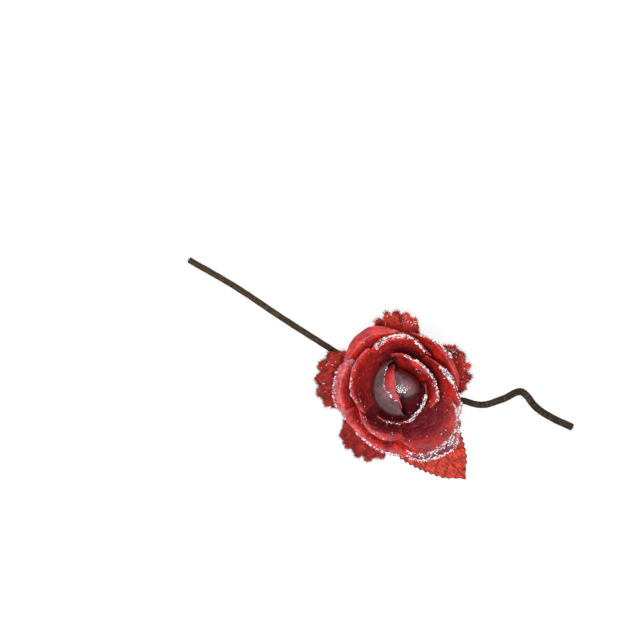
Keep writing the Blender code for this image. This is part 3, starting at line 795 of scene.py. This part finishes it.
def add_stem(material):
    path = stem_path()
    pairs, flow, tail = [], [], []
    distance = 0.0
    for i, (point, side, up) in enumerate(frames(path)):
        distance += (point - path[i - 1]).length if i else 0.0
        share = i / (len(path) - 1)
        dark = TAIL_SHADE * ease((share - STEM_THICKENS_FROM) / TAIL_DARKENS_WITHIN)
        rings = [[], []]
        for k in range(STEM_FINE_SIDES):
            turn = 2 * math.pi * k / STEM_FINE_SIDES
            out = side * math.cos(turn) + up * math.sin(turn)
            rings[0].append(point + out * taped_radius(share, distance, turn, 3.0))
            rings[1].append(point + out * STEM_BORE)
            flow.append((math.cos(turn) * STEM_WRAP_RADIUS, math.sin(turn) * STEM_WRAP_RADIUS, distance))
            tail.append(dark)
        pairs.append(rings)
    obj = sleeve("stem_wrap_paper", pairs, material, flow=flow + flow, tail=tail + tail)
    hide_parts("stem_wrap")


def bundle():
    """(aside, height, radius) of the long wire, the rose's wire and the leaf's stalk inside the binding."""
    floor = TAPE_THICKNESS + CLEARANCE
    stalk_height = floor + THIN_WIRE_RADIUS
    apart = STEM_WRAP_RADIUS + CLEARANCE + THIN_WIRE_RADIUS
    stalk_aside = -math.sqrt(apart**2 - (STEM_HELD_HEIGHT - stalk_height) ** 2)
    return [
        (0.0, STEM_HELD_HEIGHT, STEM_WRAP_RADIUS),
        (0.0, STEM_HELD_HEIGHT + apart, THIN_WIRE_RADIUS),
        (stalk_aside, stalk_height, THIN_WIRE_RADIUS),
    ]


def wound_outline(circles, spare):
    """The outline of tape pulled round circles, that far from them: (aside, height) of each corner."""
    turns = [2 * math.pi * k / BINDING_SIDES for k in range(BINDING_SIDES)]
    reach = [spare + max(x * math.cos(t) + z * math.sin(t) + r for x, z, r in circles) for t in turns]
    corners = []
    for k in range(BINDING_SIDES):
        a, b = turns[k], turns[(k + 1) % BINDING_SIDES]
        ra, rb = reach[k], reach[(k + 1) % BINDING_SIDES]
        aside = (ra * math.sin(b) - rb * math.sin(a)) / math.sin(b - a)
        corners.append((aside, (rb * math.cos(a) - ra * math.cos(b)) / math.sin(b - a)))
    return corners


def add_binding(material):
    """The tape wound round the three wires, each turn lapping the last."""
    circles = bundle()
    wide = wound_outline(circles, CLEARANCE + TAPE_THICKNESS)
    tight = wound_outline(circles, CLEARANCE)
    pairs, flow = [], []
    for i in range(BINDING_STEPS + 1):
        distance = BINDING_HALF_LENGTH * (2 * i / BINDING_STEPS - 1)
        rings = [[], []]
        for k, (far, near) in enumerate(zip(wide, tight)):
            lap = (distance / BINDING_PITCH + k / BINDING_SIDES) % 1.0
            thin = 1 - BINDING_LAP * lap - BINDING_DENT * abs(uneven((k / 4, distance, 0), 1.1))
            aside, height = (n + (f - n) * thin for f, n in zip(far, near))
            rings[0].append(by_stem(distance, aside, height))
            rings[1].append(by_stem(distance, *near))
            flow.append((aside, height, distance))
        pairs.append(rings)
    obj = sleeve("binding_tape_wound", pairs, material, flow=flow + flow)
    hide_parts("binding_tape")


# Leaf


def leaf_height(share):
    """The blade's middle surface: over the long wire at its foot, and down on the table at its tip."""
    over_stem = 2 * STEM_WRAP_RADIUS + CLEARANCE
    return LEAF_THICKNESS / 2 + over_stem * max(0.0, along([(a,) for a in LEAF_ARCH], share)[0])


def leaf_half_width(share):
    """Half the blade's width: round at its foot, widest before its middle, and pointed at its tip."""
    if not 0 < share < 1:
        return 0.0
    tip = min(1.0, (1 - share) / LEAF_POINT) ** LEAF_POINT_SHARPNESS
    return LEAF_HALF_WIDTH * tip * math.sin(math.pi * share**LEAF_LEAN_TO_FOOT) ** LEAF_FULLNESS


def notch(share):
    """How far a tooth stands out at that share of the blade: it leans towards the tip."""
    phase = (share * LEAF_TEETH) % 1.0
    tooth = phase / TOOTH_LEAN if phase < TOOTH_LEAN else (1 - phase) / (1 - TOOTH_LEAN)
    return tooth * min(1.0, share / 0.25, (1 - share) / 0.12)


def leaf_vein(across, share):
    """(rise, darkness) of the blade's double midrib and its side veins.

    The darkness is painted shade in the groove between the ribs and along the pressed veins.
    """
    rib = math.exp(-(((abs(across) - MIDRIB_APART) / MIDRIB_HALF_WIDTH) ** 2))
    groove = math.exp(-((across / MIDRIB_HALF_WIDTH) ** 2))
    place = share * LEAF_VEINS - VEIN_SLANT * abs(across) / LEAF_HALF_WIDTH
    away = (place + 0.5) % 1.0 - 0.5
    vein = math.exp(-((away / VEIN_HALF_WIDTH) ** 2)) * ease(abs(across) - MIDRIB_APART)
    return MIDRIB_RISE * rib - VEIN_DEPTH * vein, max(groove, 0.7 * vein)


def add_leaf(material):
    ahead = round_axis(1, LEAF_ANGLE)
    left = Vector((-ahead.y, ahead.x, 0))
    rows = LEAF_TEETH * LEAF_STEPS_PER_TOOTH
    points, vein_painted_shade, cuts, flow = [], [], [], []
    for i in range(rows + 1):
        share = LEAF_FIRST + (LEAF_LAST - LEAF_FIRST) * i / rows
        arch = math.sin(math.pi * share)
        half = leaf_half_width(share) + TOOTH_DEPTH * notch(share)
        middle = Vector((*LEAF_FOOT, 0)) + ahead * (LEAF_START + LEAF_LENGTH * share)
        for c in range(LEAF_COLUMNS + 1):
            u = 2 * c / LEAF_COLUMNS - 1
            rise, dark = leaf_vein(u * half, share)
            fade = ease(share / 0.06) * ease((1 - share) / 0.05) * ease((1 - abs(u)) / 0.06)
            point = middle + left * half * u
            ripple = LEAF_RIPPLE * (0.5 + 0.5 * uneven(point, LEAF_RIPPLE_LENGTH))
            height = leaf_height(share) + (LEAF_FOLD + ripple) * abs(u) * arch + rise * fade
            points.append(Vector((point.x, point.y, height)))
            # Painted shade along the pressed veins and the midrib's groove
            vein_painted_shade.append(dark * fade)
            cuts.append(max(ease(1 - (1 - abs(u)) * half / CUT_WIDTH), ease((share - 0.97) / 0.03)))
            flow.append((u * half, share * LEAF_LENGTH, 0))
    faces = grid_faces(rows + 1, LEAF_COLUMNS + 1)
    obj = mesh_piece("leaf_satin", points, faces, material, vein=vein_painted_shade, cut=cuts, flow=flow)
    thicken(obj, LEAF_THICKNESS)
    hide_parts("leaf")


# Frost


def add_grain(rng, points, faces, centre):
    """One crystal: an eight-sided lump of uneven shape."""
    radius = rng.uniform(*GRAIN_RADIUS)
    turn = rng.uniform(0, math.tau)
    turned = Matrix.Rotation(turn, 3, Vector([rng.gauss(0, 1) for _ in range(3)]).normalized())
    first = len(points)
    for axis in ((1, 0, 0), (-1, 0, 0), (0, 1, 0), (0, -1, 0), (0, 0, 1), (0, 0, -1)):
        points.append(HEAD @ (centre + turned @ Vector(axis) * radius * rng.uniform(0.6, 1.3)))
    for a in (0, 1):
        for b in (2, 3):
            for c in (4, 5):
                face = (first + a, first + b, first + c)
                faces.append(face if (a + b + c) % 2 == 0 else tuple(reversed(face)))


def frost_piece(rng, name, points, faces, material):
    """The grains as one piece: each has one random tone for all its corners."""
    tone = []
    while len(tone) < len(points):
        tone += [rng.random()] * CORNERS_PER_GRAIN
    obj = mesh_piece(name, points, faces, material, smooth=False, tone=tone)


def petal_frame(petal, u, v):
    """A point on a petal, the way to its inner side, and the way out over its rim."""
    step = 0.01
    point = petal_point(petal, u, v)
    over = (point - petal_point(petal, u, v - step)).normalized()
    beside = (petal_point(petal, u + step, v) - petal_point(petal, u - step, v)).normalized()
    return point, beside.cross(over).normalized() * -1, over


def add_frost(rng, petals, material):
    """Grains in bands along the rims, as FROST says, and loose grains over every petal."""
    by_name = {petal.name: petal for petal in petals}
    points, faces = [], []
    for band in FROST:
        petal = by_name[band.petal]
        made = 0
        while made < band.grains:
            turn = (rng.uniform(band.start, band.end) - petal.centre + 180) % 360 - 180
            u = min(max(turn / petal.half_width, -0.98), 0.98)
            deep = band.inset + rng.random() * band.width
            point, inner, over = petal_frame(petal, u, max(0.5, 1 - deep / PETAL_ARC))
            inwards = (deep - band.inset) / band.width
            gap = rng.uniform(*CLUMP_GAPS) - CLUMP_GAPS_INSIDE * (1 - inwards)
            if uneven(point, CLUMP_LENGTH, 9.0) < gap:
                continue
            made += 1
            skin = sheet_thickness(point, 1 - deep / PETAL_ARC) / 2 + GRAIN_SEAT
            if deep < 0.35:
                around = rng.uniform(-0.4, math.pi)
                away = (inner * math.cos(around) + over * math.sin(around)) * skin
            else:
                away = inner * skin
            add_grain(rng, points, faces, point + away + inner * rng.uniform(0, band.pile))
    for petal in petals:
        for _ in range(SPECKS_PER_PETAL):
            point, inner, _over = petal_frame(petal, rng.uniform(-0.95, 0.95), rng.uniform(0.55, 1.0))
            add_grain(rng, points, faces, point + inner * (PETAL_THICKNESS + GRAIN_SEAT) / 2)
    frost_piece(rng, "frost_petals", points, faces, material)


def top_share(radius):
    """How far up the core's side the skin is that far from its axis, near its tip."""
    low, high = 0.6, 1.0
    while high - low > 0.002:
        middle = (low + high) / 2
        if along(CORE_SIDE, middle)[0] > radius:
            low = middle
        else:
            high = middle
    return low


def add_other_frost(rng, core_foot, material):
    """Grains on the bud's tip and on the ruffle."""
    points, faces = [], []
    for _ in range(CORE_GRAINS):
        angle = rng.uniform(0, 360)
        share = 1 - abs(rng.gauss(0, 0.12))
        add_grain(rng, points, faces, core_point(angle, share, core_foot) + Vector((0, 0, 0.1)))
    for _ in range(KNOT_GRAINS):
        angle = rng.uniform(0, 360)
        radius = rng.gauss(KNOT_RADIUS, KNOT_SPREAD)
        on_top = core_point(angle, top_share(radius), core_foot)
        add_grain(rng, points, faces, on_top + Vector((0, 0, rng.uniform(0.1, 0.5))))
    for start, end, grains in RUFFLE_GRAINS:
        for _ in range(grains):
            point = ruffle_point(rng.uniform(start, end), 1 - abs(rng.gauss(0, 0.08)))
            point.z += RUFFLE_THICKNESS / 2 + rng.uniform(0.6, 1.8)
            add_grain(rng, points, faces, point)
    frost_piece(rng, "frost_bud_and_ruffle", points, faces, material)


# Materials


def new_material(name):
    material = bpy.data.materials.new(name)
    material.use_nodes = True
    return material, material.node_tree


def put(tree, socket, value):
    if isinstance(value, bpy.types.NodeSocket):
        tree.links.new(value, socket)
    elif isinstance(value, tuple) and len(value) == 3 and socket.type == "RGBA":
        socket.default_value = (*value, 1.0)
    else:
        socket.default_value = value


def output_of(tree, kind, output, inputs, **settings):
    """The named output of a new node that has these inputs and settings."""
    node = tree.nodes.new(kind)
    for name, value in settings.items():
        setattr(node, name, value)
    for name, value in inputs.items():
        put(tree, node.inputs[name], value)
    return node.outputs[output]


def attribute(tree, name, output="Fac"):
    return output_of(tree, "ShaderNodeAttribute", output, {}, attribute_name=name)


def place(tree):
    """Where a point is on its piece, in metres."""
    return output_of(tree, "ShaderNodeTexCoord", "Object", {})


def grain(tree, vector, scale, detail=3.0, roughness=0.55, distortion=0.0):
    inputs = {"Vector": vector, "Scale": scale, "Detail": detail, "Roughness": roughness,
              "Distortion": distortion}
    return output_of(tree, "ShaderNodeTexNoise", "Fac", inputs)


def flowing(tree, stretch, detail, roughness=0.55, scale=1.0):
    """Grain that runs with the piece: across it, along it and through it, by the piece's own flow."""
    inputs = {"Vector": attribute(tree, "flow", "Vector"), "Scale": stretch}
    return grain(tree, output_of(tree, "ShaderNodeMapping", "Vector", inputs), scale, detail, roughness)


def sharpened(tree, value, low, high, out_low=0.0, out_high=1.0):
    inputs = {"Value": value, "From Min": low, "From Max": high, "To Min": out_low, "To Max": out_high}
    return output_of(tree, "ShaderNodeMapRange", "Result", inputs)


def combined(tree, operation, a, b):
    return output_of(tree, "ShaderNodeMath", "Value", {0: a, 1: b}, operation=operation)


def mixed(tree, share, a, b):
    """A colour that goes from a to b as share goes from 0 to 1."""
    return output_of(tree, "ShaderNodeMix", 2, {0: share, 6: a, 7: b}, data_type="RGBA")


def stained(tree, base, pattern, low, high, most, colour):
    """The base colour, with another over it where a pattern is high, by at most that share."""
    return mixed(tree, sharpened(tree, pattern, low, high, 0.0, most), base, colour)


def finished(material, values):
    """The material, with these values and node outputs on its shader's own sockets."""
    for name, value in values.items():
        put(material.node_tree, material.node_tree.nodes["Principled BSDF"].inputs[name], value)
    return material


def bumped(tree, height, distance, strength=1.0, before=None):
    inputs = {"Height": height, "Distance": distance, "Strength": strength}
    if before:
        inputs["Normal"] = before
    return output_of(tree, "ShaderNodeBump", "Normal", inputs)


def waxed_petal():
    """Red paper dipped in wax: cloudy reds, a pale bloom on worn rims, fine streaks from foot to rim.

    Painted light and shade lie on each petal and deepen into the cup; the wax between two lines of frost is
    darker.
    """
    material, tree = new_material("waxed_petal")
    at = place(tree)
    streaks = flowing(tree, (0.55, 0.05, 1.0), 4.0)
    clouds = grain(tree, at, 170, 4.0)
    fine = grain(tree, at, 520, 4.0, 0.6)
    red = mixed(tree, sharpened(tree, clouds, 0.35, 0.68), (0.36, 0.011, 0.008), (0.8, 0.026, 0.013))
    red = stained(tree, red, fine, 0.48, 0.7, 0.5, (0.16, 0.006, 0.01))
    red = stained(tree, red, streaks, 0.48, 0.7, 0.6, (0.19, 0.007, 0.01))
    # Painted light and shade from the layer, with the darker wax between lines of frost
    red = mixed(tree, attribute(tree, "shade"), red, (0.13, 0.006, 0.01))
    red = stained(tree, red, grain(tree, at, 95, 5.0, 0.6), 0.48, 0.7, 0.65, (0.1, 0.005, 0.012))
    red = stained(tree, red, grain(tree, at, 260, 3.0, 0.6, 0.6), 0.52, 0.7, 0.35, (0.24, 0.035, 0.035))
    patches = sharpened(tree, grain(tree, at, 480, 6.0, 0.75), 0.4, 0.62)
    bloom = combined(tree, "MULTIPLY", attribute(tree, "bloom"), patches)
    haze = sharpened(tree, grain(tree, at, 380, 6.0, 0.75), 0.48, 0.76, 0.0, 0.2)
    pale = combined(tree, "ADD", bloom, haze)
    lumps = bumped(tree, grain(tree, at, 650, 4.0), 0.0009)
    return finished(material, {
        "Base Color": mixed(tree, pale, red, (0.46, 0.19, 0.22)),
        "Roughness": sharpened(tree, clouds, 0.3, 0.7, 0.3, 0.5),
        "Specular IOR Level": 0.15, "Coat Weight": 0.12, "Coat Roughness": 0.2,
        "Subsurface Weight": 0.12, "Subsurface Radius": (0.004, 0.0008, 0.0006),
        "Normal": bumped(tree, streaks, 0.0004, 0.6, lumps),
    })


def waxed_bud():
    """Mauve-grey waxed paper, with painted shade on the core's sides, tip and crease and on the side petal.
    """
    material, tree = new_material("waxed_bud")
    at = place(tree)
    clouds = grain(tree, at, 130, 3.0, 0.5)
    mauve = mixed(tree, sharpened(tree, clouds, 0.4, 0.6), (0.05, 0.013, 0.016), (0.175, 0.058, 0.072))
    streaks = flowing(tree, (0.9, 0.06, 1.0), 4.0)
    mauve = stained(tree, mauve, streaks, 0.5, 0.7, 0.55, (0.07, 0.02, 0.028))
    # Painted shade where the bud's shade layer says
    mauve = mixed(tree, attribute(tree, "shade"), mauve, (0.045, 0.008, 0.01))
    mauve = stained(tree, mauve, grain(tree, at, 420, 5.0, 0.6), 0.5, 0.8, 0.3, (0.24, 0.12, 0.15))
    return finished(material, {
        "Base Color": mauve,
        "Roughness": sharpened(tree, clouds, 0.3, 0.7, 0.2, 0.36),
        "Specular IOR Level": 0.35, "Coat Weight": 0.6, "Coat Roughness": 0.12,
        "Subsurface Weight": 0.1, "Subsurface Radius": (0.002, 0.001, 0.001),
        "Normal": bumped(tree, grain(tree, at, 620, 4.0), 0.0005),
    })


def crepe_material(name, dark, bright, speckle):
    """Matt red crepe, dark to bright by its tone and painted light, with fine specks and a fine crinkle."""
    material, tree = new_material(name)
    at = place(tree)
    specks = sharpened(tree, grain(tree, at, 620, 4.0, 0.7), 0.35, 0.68, -speckle, speckle)
    # The tone carries painted light and shade: by lobe, and at the fibres' roots
    share = combined(tree, "ADD", attribute(tree, "tone"), specks)
    return finished(material, {
        "Base Color": mixed(tree, share, dark, bright),
        "Roughness": 0.85, "Sheen Weight": 0.1, "Sheen Roughness": 0.4, "Sheen Tint": (1.0, 0.2, 0.15),
        "Normal": bumped(tree, grain(tree, at, 1500, 5.0, 0.7), 0.0008),
    })


def satin_leaf():
    """Bright red satin: a fine diagonal weave, pressed veins, and a darker cut edge.

    The grooves of the veins and the midrib carry painted shade.
    """
    material, tree = new_material("satin_leaf")
    inputs = {"Vector": attribute(tree, "flow", "Vector"), "Scale": 1.6, "Distortion": 1.5, "Detail": 2.0}
    weave = output_of(tree, "ShaderNodeTexWave", "Fac", inputs, bands_direction="DIAGONAL")
    threads = flowing(tree, (2.2, 0.35, 1.0), 3.0, scale=1.3)
    red = mixed(tree, sharpened(tree, threads, 0.38, 0.62), (0.17, 0.005, 0.004), (0.85, 0.075, 0.03))
    dabs = flowing(tree, (0.5, 0.22, 1.0), 3.0)
    red = stained(tree, red, dabs, 0.42, 0.66, 0.65, (0.26, 0.008, 0.007))
    # Painted shade in the grooves of the midrib and the side veins
    red = mixed(tree, attribute(tree, "vein"), red, (0.12, 0.006, 0.006))
    fine = bumped(tree, weave, 0.00012, 0.7)
    return finished(material, {
        "Base Color": mixed(tree, attribute(tree, "cut"), red, (0.09, 0.006, 0.009)),
        "Roughness": 0.4, "Specular IOR Level": 0.25, "Anisotropic": 0.5,
        "Sheen Weight": 0.1, "Sheen Roughness": 0.3,
        "Normal": bumped(tree, threads, 0.0003, 0.7, fine),
    })


def wrap_paper():
    """Brown crepe tape pulled tight: stretch lines along it, darker dabs of its wax, and a darker tail.

    Its raised ridges are painted a lighter tan, a painted highlight.
    """
    material, tree = new_material("wrap_paper")
    lines = flowing(tree, (2.4, 2.4, 0.22), 5.0, 0.65)
    dabs = flowing(tree, (0.3, 0.3, 0.12), 3.0)
    brown = mixed(tree, sharpened(tree, lines, 0.32, 0.7), (0.008, 0.005, 0.0025), (0.07, 0.042, 0.02))
    brown = stained(tree, brown, dabs, 0.48, 0.7, 0.7, (0.01, 0.008, 0.005))
    brown = mixed(tree, attribute(tree, "tail"), brown, (0.006, 0.004, 0.003))
    ridges = flowing(tree, (0.5, 0.5, 1.3), 3.0, 0.6)
    # Painted highlight: a lighter tan where the ridges stand up
    brown = stained(tree, brown, ridges, 0.48, 0.7, 0.5, (0.12, 0.075, 0.042))
    rough = bumped(tree, lines, 0.0005, 0.9, bumped(tree, ridges, 0.0005, 0.8))
    return finished(material, {"Base Color": brown, "Roughness": 0.62, "Specular IOR Level": 0.12,
                               "Normal": rough})


def frost_grains():
    """Grains of white frost; the grey-lilac and dark grains are painted shade among the crystals."""
    material, tree = new_material("frost_grains")
    at = place(tree)
    tone = attribute(tree, "tone")
    # Painted shade: grains of low tone are grey-lilac and the lowest dark, and patches of grey-lilac, for the
    # shade among the crystals
    white = mixed(tree, sharpened(tree, tone, 0.46, 0.52), (0.4, 0.36, 0.46), (1.0, 0.99, 1.0))
    white = mixed(tree, sharpened(tree, tone, 0.22, 0.26), (0.07, 0.02, 0.04), white)
    white = stained(tree, white, grain(tree, at, 900, 2.0), 0.55, 0.7, 0.4, (0.4, 0.36, 0.46))
    return finished(material, {
        "Base Color": white, "Roughness": 0.3, "Coat Weight": 0.4, "Coat Roughness": 0.1,
        "Normal": bumped(tree, grain(tree, at, 4000, 2.0), 0.0002, 0.6),
    })


def thin_steel():
    """Dull florist's wire with fine drawing lines."""
    material, tree = new_material("thin_steel")
    scale = grain(tree, place(tree), 900, 3.0)
    grey = mixed(tree, sharpened(tree, scale, 0.35, 0.7), (0.16, 0.15, 0.14), (0.36, 0.35, 0.33))
    return finished(material, {
        "Base Color": grey, "Metallic": 1.0, "Roughness": sharpened(tree, scale, 0.3, 0.7, 0.3, 0.55),
        "Normal": bumped(tree, scale, 0.0001, 0.5),
    })


def seen_directly(tree):
    """1 for what the camera sees, also in gloss and through glass, and 0 for light that falls on things."""
    path = tree.nodes.new("ShaderNodeLightPath")
    seen = combined(tree, "MAXIMUM", path.outputs["Is Camera Ray"], path.outputs["Is Glossy Ray"])
    return combined(tree, "MAXIMUM", seen, path.outputs["Is Transmission Ray"])


def pale_floor():
    """A white floor that reads as the photograph's paper and keeps the rose's soft shadow."""
    material, tree = new_material("pale_floor")
    cloud = grain(tree, place(tree), 3.0, 2.0)
    white = mixed(tree, cloud, (0.9, 0.9, 0.9), (0.93, 0.93, 0.93))
    finished(material, {"Base Color": white, "Roughness": 0.9})
    glow = output_of(tree, "ShaderNodeEmission", "Emission", {"Color": (1.0, 1.0, 1.0), "Strength": 1.0})
    share = combined(tree, "MULTIPLY", seen_directly(tree), FLOOR_GLOW)
    lit = tree.nodes["Principled BSDF"].outputs["BSDF"]
    blend = output_of(tree, "ShaderNodeMixShader", "Shader", {0: share, 1: lit, 2: glow})
    put(tree, tree.nodes["Material Output"].inputs["Surface"], blend)
    return material


# Stage


def add_floor():
    mesh = bpy.data.meshes.new("floor")
    low = cad_box[0][2] - FLOOR_BELOW
    corners = [(x * FLOOR_HALF, y * FLOOR_HALF, low) for x, y in ((-1, -1), (1, -1), (1, 1), (-1, 1))]
    mesh.from_pydata(corners, [], [(0, 1, 2, 3)])
    mesh.materials.append(pale_floor())
    floor = linked("floor", mesh)


def add_lamp(name, spot, size, power):
    """A square soft lamp at a spot in metres, turned to the rose."""
    lamp = bpy.data.lights.new(name, "AREA")
    lamp.size = size
    lamp.energy = power
    obj = linked(name, lamp)
    obj.location = spot
    aim = Vector(HEAD_FOOT) * MM - Vector(spot)
    obj.rotation_euler = aim.to_track_quat("-Z", "Y").to_euler()


def add_world():
    """Soft light from all round, and white to the camera, to gloss and through glass."""
    world = bpy.data.worlds.new("studio")
    bpy.context.scene.world = world
    world.use_nodes = True
    tree = world.node_tree
    back = tree.nodes["Background"]
    back.inputs["Color"].default_value = (1.0, 1.0, 1.0, 1.0)
    put(tree, back.inputs["Strength"], sharpened(tree, seen_directly(tree), 0.0, 1.0, WORLD_LIGHT, 1.0))


def add_camera():
    """Straight above the middle of the photograph's frame, its top towards +Y."""
    camera = bpy.data.cameras.new("camera")
    camera.sensor_width = SENSOR
    camera.lens = SENSOR * CAMERA_HEIGHT / (PHOTO_SIDE * MM_PER_PIXEL)
    obj = linked("camera", camera)
    right = (PHOTO_SIDE / 2 - STEM_END_PIXEL[0]) * MM_PER_PIXEL
    down = (PHOTO_SIDE / 2 - STEM_END_PIXEL[1]) * MM_PER_PIXEL
    end_x, end_y = STEM_ROUTE_BACK[0]
    obj.location = Vector((end_x + right, end_y - down, CAMERA_HEIGHT)) * MM
    bpy.context.scene.camera = obj


def build():
    add_camera()
    rng = random.Random(SEED)
    petals, core_foot = all_petals()
    wax = waxed_petal()
    bud = waxed_bud()
    paper = wrap_paper()
    frost = frost_grains()
    for petal in petals:
        add_petal(petal, bud if petal.name in BUD_COLOURED else wax)
    add_core(core_foot, bud)
    add_ruffle(crepe_material("frayed_crepe", (0.14, 0.004, 0.004), (0.85, 0.04, 0.025), 0.3))
    add_fibres(rng, crepe_material("crepe_fibres", (0.24, 0.004, 0.004), (1.0, 0.08, 0.045), 0.1))
    add_frost(rng, petals, frost)
    add_other_frost(rng, core_foot, frost)
    add_stem(paper)
    add_binding(paper)
    add_leaf(satin_leaf())
    steel = thin_steel()
    for name in ("stem_wire", "head_wire", "leaf_stalk"):
        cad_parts[name].data.materials.clear()
        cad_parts[name].data.materials.append(steel)
    add_floor()
    add_world()
    for lamp in LAMPS:
        add_lamp(*lamp)
    bpy.context.scene.view_settings.view_transform = "Standard"


build()
